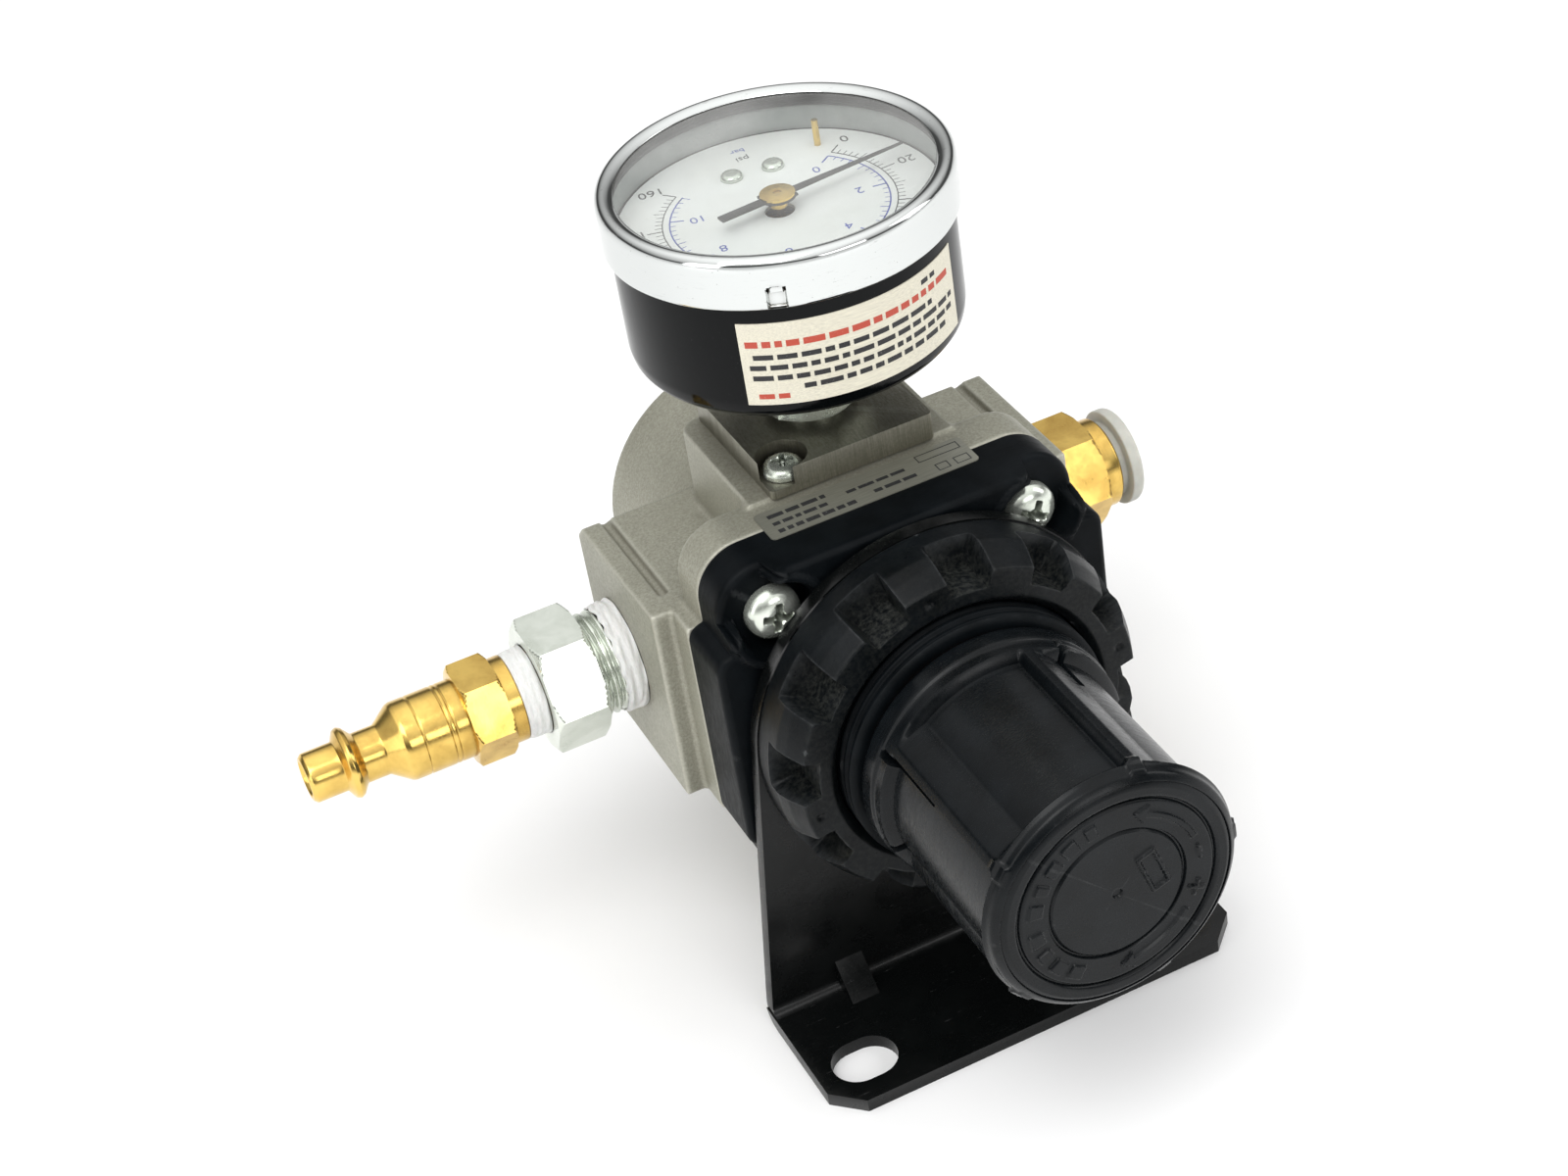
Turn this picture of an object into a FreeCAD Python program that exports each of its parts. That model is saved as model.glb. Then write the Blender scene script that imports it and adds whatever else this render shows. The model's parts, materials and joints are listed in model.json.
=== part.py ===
"""Panel-mount air pressure regulator with a round gauge, an L bracket and port fittings.

Row frame, in millimetres: the origin is the centre of the bracket's two slots on the underside of
its foot, +X runs from the inlet to the outlet, +Y runs from the knob to the rear, +Z is up.
The regulator's own stack (knob, nut, bonnet, diaphragm, valve) lies on one main axis along Y.
Heights in the stack are counted forward, towards the knob, from the panel plane, which is the
bracket plate's rear face. Port fittings are counted outward from the main axis.
"""
import FreeCAD, Part
import math
import os

from FreeCAD import Placement, Rotation, Vector

# ---------------------------------------------------------------- driving dimensions
PANEL_Y = 18.5            # panel plane, behind the slot centres
AXIS_Z = 50.0             # main axis above the foot's underside
PORT_BACK = 35.0          # port axis behind the panel plane
GAUGE_BACK = 30.5         # gauge axis behind the panel plane
PORT_FACE = 35.0          # port face from the main axis

SHEET = 2.3               # bracket sheet thickness
FOOT_WIDTH = 70.0
FOOT_DEPTH = 26.4
SLOT_SPACING = 54.0
SLOT_WIDTH = 8.5
SLOT_LENGTH = 10.5
BRACKET_ARC_R = 29.5
BEND_R = 1.6

COLUMN_SIZE = 58.4        # square section of bonnet and body flange
COLUMN_CORNER_R = 7.5
WING_HALF = 31.8          # half width over the side wings
BLOCK_HALF = 17.25        # half height of the port block
PARTING = -12.0           # bonnet to body joint face
PAD_FACE = -5.0           # faces under the bonnet screw heads
SCREW_HALF = 21.0         # bonnet screws stand on a square of this half side

NECK_R = 21.0             # M42 panel thread
NECK_END = 15.8
TOWER_R = 12.8            # tube that carries the knob's bearing
TOWER_END = 39.0
SPRING_ROOM_R = 11.8
WALL = 3.0

NUT_R = 29.3
NUT_FRONT = 13.0
NUT_POCKETS = 12

KNOB_BACK = 17.0
KNOB_END = 54.7
KNOB_R = 19.8
KNOB_PANELS = 5
KNOB_FIRST_PANEL = 103.0  # degrees from +X towards +Z
DRIVE_FLATS = 10.0        # hexagon that turns the screw

SCREW_R = 5.0             # adjusting screw, left-hand thread of 1.5 mm pitch
SEAT_NUT_LOW = 26.0       # spring side of the nut that rides on the screw
RUN = 0.05                # running clearance on a radius
GAP = 0.1                 # clearance along an axis

SEAT_F = -38.0            # valve seat face
ORIFICE_R = 6.0
STEM_R = 2.0
GUIDE_R = 3.0
BARREL_R = 23.0
BARREL_END = -69.5
CHAMBER_R = 11.0

PLATE_HALF = 13.5         # gauge plate
PLATE_LOW = 79.8
PLATE_TOP = 84.2

CASE_R = 25.0
CASE_LOW = 97.4
BEZEL_R = 26.1
BEZEL_LOW = 116.7
GAUGE_TOP = 124.6
DIAL_TOP = 117.4
DIAL_TURN = -7.0          # the gauge is screwed in this many degrees off square
SCALE_SWEEP = 270.0
SCALE_FULL = 160.0
READING = 19.0            # pressure shown at rest, in psi

WINDOW_TOP = GAUGE_TOP - 0.85
POINTER_LOW = 119.6
HUB_R = 2.6
POINTER_THICK = 0.35

FRAME_LOW = 106.0         # the movement's two plates, outer faces
FRAME_TOP = 114.0
FRAME_PLATE = 1.2
PINION_TEETH = 10
SECTOR_TEETH = 70         # teeth on the sector gear's full circle
GEAR_MODULE = 0.4
GEAR_LOW = 109.0
GEAR_THICK = 1.0
PINION_R = GEAR_MODULE * PINION_TEETH / 2
SECTOR_R = GEAR_MODULE * SECTOR_TEETH / 2
SECTOR_X = -(PINION_R + SECTOR_R)
LINK_R = 3.5              # sector pivot to link pin
LINK_LENGTH = 6.5
ARM_ANGLE = 165.3         # link arm's direction at rest
LINK_X = SECTOR_X - 0.972 * LINK_R   # mean reach of the pin over its swing
LINK_Y = LINK_R * math.sin(math.radians(ARM_ANGLE))
TUBE_ROOT_ANGLE = -62.0
TIP_Y = LINK_Y + LINK_LENGTH

NPT38_R = 8.4             # 3/8 inch taper thread, mean outer radius
NPT14_R = 6.75            # 1/4 inch taper thread
TUBE_R = 4.7625           # 3/8 inch tube
BUSHING_FACE = 50.5       # outer face of the inlet bushing
FITTING_END = 50.0        # outer end of the outlet fitting's body
RELEASE_TRAVEL = 1.2
PLUG_TIP_R = 3.95
PLUG_TIP_LENGTH = 4.8
PLUG_END = 87.8


# ---------------------------------------------------------------- helpers
def turned(profile):
    """Solid of revolution about local Z from (radius, height) points."""
    points = [Vector(radius, 0, height) for radius, height in profile]
    face = Part.Face(Part.makePolygon(points + [points[0]]))
    return face.revolve(Vector(0, 0, 0), Vector(0, 0, 1), 360)


def rod(radius, low, high, x=0.0, y=0.0):
    """Cylinder along local Z."""
    return Part.makeCylinder(radius, high - low, Vector(x, y, low))


def ring(outer, inner, low, high):
    """Plain ring about local Z."""
    return rod(outer, low, high).cut(rod(inner, low - 1, high + 1))


def block(x0, x1, y0, y1, z0, z1):
    """Box between two corners."""
    return Part.makeBox(x1 - x0, y1 - y0, z1 - z0, Vector(x0, y0, z0))


def upright_edges(solid):
    """Straight edges that run along local Z."""
    edges = []
    for edge in solid.Edges:
        if isinstance(edge.Curve, Part.Line) and abs(edge.Curve.Direction.z) > 0.999:
            edges.append(edge)
    return edges


def column(width, depth, low, high, corner):
    """Centred square column along local Z with rounded corners."""
    solid = block(-width / 2, width / 2, -depth / 2, depth / 2, low, high)
    return solid.makeFillet(corner, upright_edges(solid))


def hexagon(flats, low, high, chamfer=0.0):
    """Hexagonal prism along local Z, with its corners turned off at both ends."""
    corner = flats / math.sqrt(3)
    points = []
    for step in range(7):
        angle = math.radians(60 * step + 30)
        points.append(Vector(corner * math.cos(angle), corner * math.sin(angle), low))
    prism = Part.Face(Part.makePolygon(points)).extrude(Vector(0, 0, high - low))
    if chamfer:
        drop = chamfer * 0.6
        limit = turned([(0, low), (corner - chamfer, low), (corner, low + drop),
                        (corner, high - drop), (corner - chamfer, high), (0, high)])
        prism = prism.common(limit)
    return prism


def rounded_top(radius, low, high, edge):
    """Disc along local Z whose upper rim is rounded."""
    solid = rod(radius, low, high)
    rims = [item for item in solid.Edges if abs(item.BoundBox.ZMin - high) < 1e-6
            and abs(item.BoundBox.ZMax - high) < 1e-6]
    return solid.makeFillet(edge, rims)


def coil(mean_radius, wire_radius, low, high, turns):
    """Helical spring along local Z that fills the space from low to high."""
    start = low + wire_radius
    height = high - low - 2 * wire_radius
    path = Part.Wire(Part.makeHelix(height / turns, height, mean_radius))
    circle = Part.makeCircle(wire_radius, Vector(mean_radius, 0, 0), Vector(0, 1, 0))
    spring = path.makePipeShell([Part.Wire(circle)], True, True)
    spring.translate(Vector(0, 0, start))
    return spring


def o_ring(mean_radius, section_radius, height):
    """Rubber ring about local Z."""
    return Part.makeTorus(mean_radius, section_radius, Vector(0, 0, height))


def around(solid, degrees):
    """Copy of a solid turned about local Z."""
    copy = solid.copy()
    copy.rotate(Vector(0, 0, 0), Vector(0, 0, 1), degrees)
    return copy


def placed(solid, position, rotation):
    """Moves a solid made in a local frame to its place in the row frame."""
    copy = solid.copy()
    copy.Placement = Placement(position, rotation).multiply(copy.Placement)
    return copy


def on_main_axis(solid):
    """Local +Z becomes forward, local +X stays right, local +Y becomes up."""
    return placed(solid, Vector(0, PANEL_Y, AXIS_Z), Rotation(Vector(1, 0, 0), 90))


def on_inlet_axis(solid):
    """Local +Z becomes outward on the inlet side."""
    return placed(solid, Vector(0, PANEL_Y + PORT_BACK, AXIS_Z), Rotation(Vector(0, 1, 0), -90))


def on_outlet_axis(solid):
    """Local +Z becomes outward on the outlet side."""
    return placed(solid, Vector(0, PANEL_Y + PORT_BACK, AXIS_Z), Rotation(Vector(0, 1, 0), 90))


def on_gauge_axis(solid):
    """Local +Z stays up, and local heights stay row heights."""
    return placed(solid, Vector(0, PANEL_Y + GAUGE_BACK, 0), Rotation())


def keep(name, solid):
    """Writes one node."""
    solid.exportStep("parts/" + name + ".step")
    box = solid.BoundBox
    print(f"{name}: {len(solid.Solids)} solid, {solid.Volume:.1f} mm3, valid {solid.isValid()}, "
          f"x {box.XMin:.1f}..{box.XMax:.1f} y {box.YMin:.1f}..{box.YMax:.1f} "
          f"z {box.ZMin:.1f}..{box.ZMax:.1f}")


def corners():
    """The four (x, y) signs of a square pattern."""
    return [(sx, sy) for sx in (-1, 1) for sy in (-1, 1)]


# ---------------------------------------------------------------- bracket and nut
def bracket_upright():
    """Tapered plate with a round head, as seen from the front, extruded through the sheet."""
    half = FOOT_WIDTH / 2
    reach = math.hypot(half, AXIS_Z)
    tangent = math.atan2(-AXIS_Z, half) + math.acos(BRACKET_ARC_R / reach)
    touch_x = BRACKET_ARC_R * math.cos(tangent)
    touch_z = AXIS_Z + BRACKET_ARC_R * math.sin(tangent)
    right = Vector(touch_x, 0, touch_z)
    left = Vector(-touch_x, 0, touch_z)
    top = Vector(0, 0, AXIS_Z + BRACKET_ARC_R)
    low_left = Vector(-half, 0, 0)
    low_right = Vector(half, 0, 0)
    outline = Part.Wire([
        Part.LineSegment(low_left, low_right).toShape(),
        Part.LineSegment(low_right, right).toShape(),
        Part.Arc(right, top, left).toShape(),
        Part.LineSegment(left, low_left).toShape(),
    ])
    plate = Part.Face(outline).extrude(Vector(0, SHEET, 0))
    plate.translate(Vector(0, PANEL_Y - SHEET, 0))
    return plate


def bracket():
    half = FOOT_WIDTH / 2
    front = PANEL_Y - FOOT_DEPTH
    corner = 4.5
    foot_points = [(-half, PANEL_Y), (half, PANEL_Y), (half, front + corner), (half - corner, front),
                   (corner - half, front), (-half, front + corner), (-half, PANEL_Y)]
    foot = Part.Face(Part.makePolygon([Vector(x, y, 0) for x, y in foot_points]))
    foot = foot.extrude(Vector(0, 0, SHEET))
    plate = bracket_upright()
    body = foot.fuse(plate).removeSplitter()
    outer = [edge for edge in body.Edges if edge.BoundBox.YMin > PANEL_Y - 0.01
             and edge.BoundBox.ZMax < 0.01 and edge.BoundBox.XLength > FOOT_WIDTH - 1]
    body = body.makeFillet(BEND_R + SHEET, outer)
    inner = [edge for edge in body.Edges if abs(edge.BoundBox.YMin - (PANEL_Y - SHEET)) < 0.01
             and abs(edge.BoundBox.ZMax - SHEET) < 0.01 and edge.BoundBox.XLength > FOOT_WIDTH / 2]
    body = body.makeFillet(BEND_R, inner)
    rise = 5.0
    width = 4.6
    for side in (-1, 1):
        centre = side * 21.0
        foot_line = Vector(centre - width / 2, PANEL_Y - SHEET, SHEET)
        points = [foot_line, foot_line + Vector(0, -rise, 0), foot_line + Vector(0, 0, rise), foot_line]
        gusset = Part.Face(Part.makePolygon(points)).extrude(Vector(width, 0, 0))
        body = body.fuse(gusset)
        x = side * SLOT_SPACING / 2
        straight = (SLOT_LENGTH - SLOT_WIDTH) / 2
        slot = block(x - straight, x + straight, -SLOT_WIDTH / 2, SLOT_WIDTH / 2, -1, SHEET + 1)
        for end in (-straight, straight):
            slot = slot.fuse(rod(SLOT_WIDTH / 2, -1, SHEET + 1, x + end, 0))
        body = body.cut(slot)
    hole = on_main_axis(rod(NECK_R + 0.2, -1, SHEET + 1))
    return body.cut(hole).removeSplitter()


def set_nut():
    back = SHEET
    rim = 1.6
    body = turned([(NECK_R + RUN, back), (NUT_R, back), (NUT_R, back + rim + 4.0),
                   (NUT_R - 0.6, NUT_FRONT - 3.0), (NUT_R - 2.3, NUT_FRONT), (NECK_R + 1.4, NUT_FRONT),
                   (NECK_R + RUN, NUT_FRONT - 1.2)])
    floor = 24.6
    half_width = 3.4
    for step in range(NUT_POCKETS):
        pocket = block(floor, NUT_R + 1, -half_width, half_width, back + rim + 2.2, NUT_FRONT + 1)
        body = body.cut(around(pocket, 24.0 + 360.0 * step / NUT_POCKETS))
    return body


# ---------------------------------------------------------------- bonnet and what it holds
def bonnet():
    half = COLUMN_SIZE / 2
    wing = column(2 * WING_HALF, 35.8, PARTING, -1.2, 2.5)
    lower = column(COLUMN_SIZE, COLUMN_SIZE, PARTING, PAD_FACE, COLUMN_CORNER_R)
    upper = column(COLUMN_SIZE, COLUMN_SIZE, PAD_FACE, -1.2, COLUMN_CORNER_R)
    body = lower.fuse([upper, wing])
    pad_r = 6.0
    for sx, sy in corners():
        centre_x = sx * SCREW_HALF
        centre_y = sy * SCREW_HALF
        x0, x1 = sorted((centre_x, sx * (half + 5)))
        y0, y1 = sorted((centre_y, sy * (half + 5)))
        body = body.cut(rod(pad_r, PAD_FACE, 1, centre_x, centre_y))
        body = body.cut(block(x0, x1, y0, y1, PAD_FACE, 1))
    body = body.fuse(rod(24.5, -3, 0))
    body = body.fuse([rod(NECK_R, -1, NECK_END - 1.0), rod(NECK_R - 1.0, 0, NECK_END)])
    body = body.fuse(rod(TOWER_R, 0, TOWER_END))
    room = turned([(0, PARTING - 1), (20.0, PARTING - 1), (20.0, PARTING + 3.0), (17.5, PARTING + 5.0),
                   (17.5, NECK_END - WALL - 1.0), (SPRING_ROOM_R, NECK_END - WALL),
                   (SPRING_ROOM_R, TOWER_END - WALL), (0, TOWER_END - WALL)])
    body = body.cut(room)
    body = body.cut(rod(SCREW_R + 0.6, TOWER_END - WALL - 1, TOWER_END + 1))
    moat = ring(NECK_R - 3.0, TOWER_R, NECK_END - 2.0, NECK_END + 1)
    body = body.cut(moat)
    for sx, sy in corners():
        body = body.cut(rod(2.3, PARTING - 1, 1, sx * SCREW_HALF, sy * SCREW_HALF))
    vent = rod(1.0, NECK_R - 8, NECK_R + 14)
    vent.rotate(Vector(0, 0, 0), Vector(0, 1, 0), 90)
    vent.translate(Vector(0, 0, PARTING + 5.5))
    return body.cut(vent).removeSplitter()


def cross_recess(width, length, depth, top):
    """Cross-shaped driver recess cut down from height top."""
    arm = block(-length / 2, length / 2, -width / 2, width / 2, top - depth, top + 1)
    return arm.fuse(around(arm, 90))


def pan_screw(shank_r, shank_length, head_r, head_height):
    """Pan head screw whose head sits on local height 0."""
    head = rounded_top(head_r, 0, head_height, head_height * 0.72)
    shank = turned([(0, 0.5), (shank_r, 0.5), (shank_r, 0.8 - shank_length), (shank_r - 0.8, -shank_length),
                    (0, -shank_length)])
    return head.fuse(shank).cut(cross_recess(0.9, 1.15 * head_r, head_height * 0.75, head_height))


def bonnet_screws():
    screws = []
    for sx, sy in corners():
        screw = around(pan_screw(1.95, 12.5, 4.3, 3.3), 25 * sx + 40 * sy)
        screw.translate(Vector(sx * SCREW_HALF, sy * SCREW_HALF, PAD_FACE))
        screws.append(screw)
    return Part.makeCompound(screws)


def lock_band():
    return ring(TOWER_R + 1.2, TOWER_R + RUN, NECK_END - 1.0, NECK_END + 2.2)


def adjusting_screw():
    collar = TOWER_END - WALL
    body = rod(SCREW_R, -4.0, TOWER_END)
    body = body.fuse(rod(8.5, collar - 3.2, collar - 1.2))
    return body.fuse(hexagon(DRIVE_FLATS, TOWER_END, KNOB_END - 5.0, 0.6)).removeSplitter()


def thrust_washer():
    collar = TOWER_END - WALL
    return ring(8.5, SCREW_R + RUN, collar - 1.1, collar - 0.1)


def spring_seat_nut():
    body = turned([(SCREW_R + RUN, SEAT_NUT_LOW - 2.0), (7.6, SEAT_NUT_LOW - 2.0), (7.6, SEAT_NUT_LOW),
                   (11.2, SEAT_NUT_LOW), (11.2, SEAT_NUT_LOW + 3.5), (SCREW_R + RUN, SEAT_NUT_LOW + 3.5)])
    for side in (-1, 1):
        flat = block(10.6, 14, -8, 8, SEAT_NUT_LOW - 1, SEAT_NUT_LOW + 5)
        body = body.cut(around(flat, 90 + 90 * side))
    return body


def knob_recess(angle):
    """One finger panel: a steep wall on one side, a ramp up to the rib on the other."""
    floor = KNOB_R - 1.8
    outside = KNOB_R + 4
    points = []
    for degrees in (-26, -13, 0, 13, 26):
        a = math.radians(angle + degrees)
        points.append(Vector(floor / math.cos(math.radians(3)) * math.cos(a), floor * math.sin(a), 0))
    ramp = math.radians(angle + 40)
    points.append(Vector((KNOB_R + 0.1) * math.cos(ramp), (KNOB_R + 0.1) * math.sin(ramp), 0))
    for degrees in (40, 26, 0, -26):
        a = math.radians(angle + degrees)
        points.append(Vector(outside * math.cos(a), outside * math.sin(a), 0))
    shape = Part.Face(Part.makePolygon(points + [points[0]]))
    low = KNOB_BACK + 5.5
    high = KNOB_END - 3.2
    shape.translate(Vector(0, 0, low))
    return shape.extrude(Vector(0, 0, high - low))


def knob():
    body = turned([(0, KNOB_BACK), (KNOB_R, KNOB_BACK), (KNOB_R + 0.3, KNOB_BACK + 0.5),
                   (KNOB_R + 0.3, KNOB_BACK + 3.2), (KNOB_R, KNOB_BACK + 3.6),
                   (KNOB_R - 0.4, KNOB_END - 3.2), (KNOB_R - 0.9, KNOB_END - 1.6),
                   (KNOB_R - 2.2, KNOB_END - 0.2), (KNOB_R - 2.8, KNOB_END), (0, KNOB_END)])
    for step in range(KNOB_PANELS):
        body = body.cut(knob_recess(KNOB_FIRST_PANEL + 360.0 * step / KNOB_PANELS))
    inside = 14.6
    body = body.cut(ring(inside, 8.0, KNOB_BACK - 1, KNOB_END - 3.0))
    body = body.cut(rod(inside + 1.6, KNOB_BACK - 1, KNOB_BACK + 5.0))
    body = body.cut(rod(9, KNOB_BACK - 1, TOWER_END + 1.0))
    body = body.cut(hexagon(DRIVE_FLATS + 0.3, TOWER_END - 1, KNOB_END - 4.4))
    rim = ring(15.6, 15.0, KNOB_END - 0.4, KNOB_END + 1)
    disc = ring(10.7, 10.2, KNOB_END - 0.4, KNOB_END + 1)
    return body.cut(rim).cut(disc)


def diaphragm():
    """Rubber disc with one rolled convolution, clamped at its rim."""
    top = PARTING
    thick = 1.0
    outer = []
    inner = []
    for step in range(9):
        angle = math.pi * step / 8
        mid = 17.0
        outer.append((mid - 2.6 * math.cos(angle), top + 2.4 * math.sin(angle)))
        inner.append((mid + 1.8 * math.cos(angle), top - thick + 2.4 * math.sin(angle)))
    return turned([(3.0, top)] + outer + [(25.0, top), (25.0, top - thick)] + inner + [(3.0, top - thick)])


def diaphragm_plate():
    face = PARTING
    return turned([(1.0, face + 2.4), (7.4, face + 2.4), (7.4, face + 1.4), (13.4, face + 1.4),
                   (13.4, face), (2.9, face), (2.9, face - 2.4), (1.0, face - 2.4)])


def diaphragm_retainer():
    face = PARTING - 1.0
    return turned([(2.95, face), (12.4, face), (12.4, face - 1.3), (4.5, face - 1.3), (4.5, face - 3.0),
                   (1.0, face - 3.0), (1.0, face - 1.5), (2.95, face - 1.5)])


# ---------------------------------------------------------------- body and valve
def port_block():
    """Square-ended block between the two ports, in the main axis frame."""
    rear = -47.8
    front = -17.7
    solid = block(-PORT_FACE, PORT_FACE, -BLOCK_HALF, BLOCK_HALF, rear, front)
    rear_edges = [edge for edge in solid.Edges if abs(edge.BoundBox.ZMax - rear) < 1e-6
                  and edge.BoundBox.XLength > 1]
    solid = solid.makeChamfer(2.5, rear_edges)
    web = block(-WING_HALF, WING_HALF, -BLOCK_HALF, BLOCK_HALF, front - 1, PARTING)
    solid = solid.fuse(web)
    for side in (-1, 1):
        x0, x1 = sorted((side * 30.2, side * 31.6))
        for face in (-1, 1):
            y0, y1 = sorted((face * (BLOCK_HALF - 1.3), face * (BLOCK_HALF + 1)))
            solid = solid.cut(block(x0, x1, y0, y1, rear - 1, -22.3))
        solid = solid.cut(block(x0, x1, -BLOCK_HALF - 1, BLOCK_HALF + 1, rear - 1, rear + 1.3))
    return solid


def body():
    flange = column(COLUMN_SIZE, COLUMN_SIZE, -19.5, PARTING, COLUMN_CORNER_R)
    pedestal = block(-17.0, 17.0, 0, PLATE_LOW - AXIS_Z, -44.2, -18.0)
    pedestal = pedestal.makeFillet(3.0, [edge for edge in pedestal.Edges
                                         if edge.BoundBox.YLength > 20 and edge.BoundBox.ZMax < -40])
    barrel = turned([(0, -30), (BARREL_R, -30), (BARREL_R, BARREL_END + 1.2),
                     (BARREL_R - 1.2, BARREL_END), (0, BARREL_END)])
    solid = flange.fuse([port_block(), pedestal, barrel]).removeSplitter()
    solid = solid.cut(turned([(0, PARTING + 1), (25.1, PARTING + 1), (25.1, PARTING - 1), (21.0, PARTING - 1),
                              (21.0, PARTING - 6.5), (0, PARTING - 6.5)]))
    for sx, sy in corners():
        solid = solid.cut(rod(2.0, -18.0, 0, sx * SCREW_HALF, sy * SCREW_HALF))
    chamber = turned([(0, BARREL_END - 1), (13.1, BARREL_END - 1), (13.1, -57.0), (CHAMBER_R, -56.0),
                      (CHAMBER_R, SEAT_F), (0, SEAT_F)])
    solid = solid.cut(chamber)
    solid = solid.cut(rod(ORIFICE_R, SEAT_F - 1, SEAT_F + 4))
    solid = solid.cut(rod(10.0, SEAT_F + 3, -24.0))
    solid = solid.cut(rod(STEM_R + 0.08, -26, -16))
    solid = solid.cut(rod(1.2, -26, -16, 7.0, -4.0))
    outlet = rod(NPT38_R, 8.0, PORT_FACE + 1)
    outlet = placed(outlet, Vector(0, 0, -PORT_BACK), Rotation(Vector(0, 1, 0), 90))
    inlet = rod(NPT38_R, 16.0, PORT_FACE + 1)
    inlet = placed(inlet, Vector(0, 0, -PORT_BACK), Rotation(Vector(0, 1, 0), -90))
    drop = block(-19.0, -8.0, -4.5, 4.5, -54.0, SEAT_F - 2)
    solid = solid.cut(outlet).cut(inlet).cut(drop)
    riser = placed(rod(2.5, 8.0, PLATE_LOW), Vector(0, 0, -GAUGE_BACK), Rotation(Vector(1, 0, 0), -90))
    mouth = placed(rod(5.3, 25.0, PLATE_LOW), Vector(0, 0, -GAUGE_BACK), Rotation(Vector(1, 0, 0), -90))
    solid = solid.cut(riser).cut(mouth)
    solid = on_main_axis(solid)
    groove = on_gauge_axis(ring(9.0, 6.6, PLATE_LOW - 1.2, PLATE_LOW + 1))
    solid = solid.cut(groove)
    for hole in gauge_plate_holes(1.45, PLATE_LOW - 8.0, PLATE_LOW + 1):
        solid = solid.cut(hole)
    return solid.removeSplitter()


def valve_poppet():
    tail = SEAT_F - 4.5
    return turned([(STEM_R + 0.02, SEAT_F - 1.6), (8.6, SEAT_F - 1.6), (8.6, SEAT_F - 4.0), (4.2, tail),
                   (GUIDE_R, tail), (GUIDE_R, SEAT_F - 24.0), (0, SEAT_F - 24.0), (0, SEAT_F - 3.5),
                   (STEM_R + 0.02, SEAT_F - 3.5)])


def poppet_seal():
    return ring(8.4, STEM_R + 0.02, SEAT_F - 1.6, SEAT_F)


def valve_stem():
    tip = PARTING - 4.0
    seated = SEAT_F - 3.5
    return turned([(0, tip), (STEM_R - 0.6, tip), (STEM_R, tip - 0.6), (STEM_R, seated), (0, seated)])


def valve_spring():
    return coil(6.2, 0.65, -57.4, SEAT_F - 4.7, 4.5)


def valve_guide_cap():
    inner = -57.5
    solid = turned([(0, BARREL_END), (12.0, BARREL_END), (13.0, BARREL_END + 1.0), (13.0, -61.4),
                    (11.6, -61.4), (11.6, -59.0), (13.0, -59.0), (13.0, inner), (8.0, inner),
                    (8.0, inner - 1.5), (0, inner - 1.5)])
    solid = solid.cut(rod(GUIDE_R + RUN, SEAT_F - 27.0, inner + 1))
    return solid.cut(hexagon(10.0, BARREL_END - 1, BARREL_END + 2.6))


def valve_guide_o_ring():
    return o_ring(12.35, 0.72, -60.2)


# ---------------------------------------------------------------- gauge plate and label
def gauge_plate_holes(radius, low, high):
    """Two screw holes on opposite corners of the gauge plate."""
    offset = PLATE_HALF - 3.9
    holes = []
    for sign in (-1, 1):
        holes.append(on_gauge_axis(rod(radius, low, high, sign * offset, sign * offset)))
    return holes


def gauge_plate():
    solid = block(-PLATE_HALF, PLATE_HALF, -PLATE_HALF, PLATE_HALF, PLATE_LOW, PLATE_TOP)
    solid = solid.makeFillet(0.8, upright_edges(solid))
    solid = on_gauge_axis(solid.cut(rod(4.9, PLATE_LOW - 1, PLATE_TOP + 1)))
    offset = PLATE_HALF - 3.9
    floor = PLATE_TOP - 3.0
    for sign in (-1, 1):
        x0, x1 = sorted((sign * offset, sign * (PLATE_HALF + 1)))
        notch = rod(3.9, floor, PLATE_TOP + 1, sign * offset, sign * offset)
        notch = notch.fuse(block(x0, x1, x0, x1, floor, PLATE_TOP + 1))
        solid = solid.cut(on_gauge_axis(notch))
    for hole in gauge_plate_holes(1.9, PLATE_LOW - 1, PLATE_TOP):
        solid = solid.cut(hole)
    return solid


def gauge_plate_screws():
    offset = PLATE_HALF - 3.9
    screws = []
    for sign in (-1, 1):
        screw = pan_screw(1.4, 8.0, 3.1, 2.3)
        screw.translate(Vector(sign * offset, sign * offset, PLATE_TOP - 3.0))
        screws.append(on_gauge_axis(screw))
    return Part.makeCompound(screws)


def gauge_plate_o_ring():
    return on_gauge_axis(o_ring(7.8, 0.6, PLATE_LOW - 0.6))


def nameplate():
    top = AXIS_Z + COLUMN_SIZE / 2
    solid = block(-17.0, 17.0, -3.6, 3.6, top, top + 0.15)
    solid = solid.makeFillet(0.8, upright_edges(solid))
    return placed(solid, Vector(-0.5, PANEL_Y + 12.2, 0), Rotation())


# ---------------------------------------------------------------- port fittings
def inlet_bushing():
    solid = rod(NPT38_R - 0.1, 24.0, 43.0).fuse(hexagon(19.05, 41.8, BUSHING_FACE, 1.2))
    solid = solid.cut(rod(NPT14_R + 0.1, 38.0, BUSHING_FACE + 1))
    return solid.cut(rod(4.6, 20.0, 40.0))


def inlet_thread_tape():
    return turned([(NPT38_R - 0.1, PORT_FACE), (NPT38_R + 0.5, PORT_FACE), (NPT38_R + 0.5, 37.9),
                   (NPT38_R + 0.2, 38.6), (NPT38_R - 0.1, 38.6)])


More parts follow.
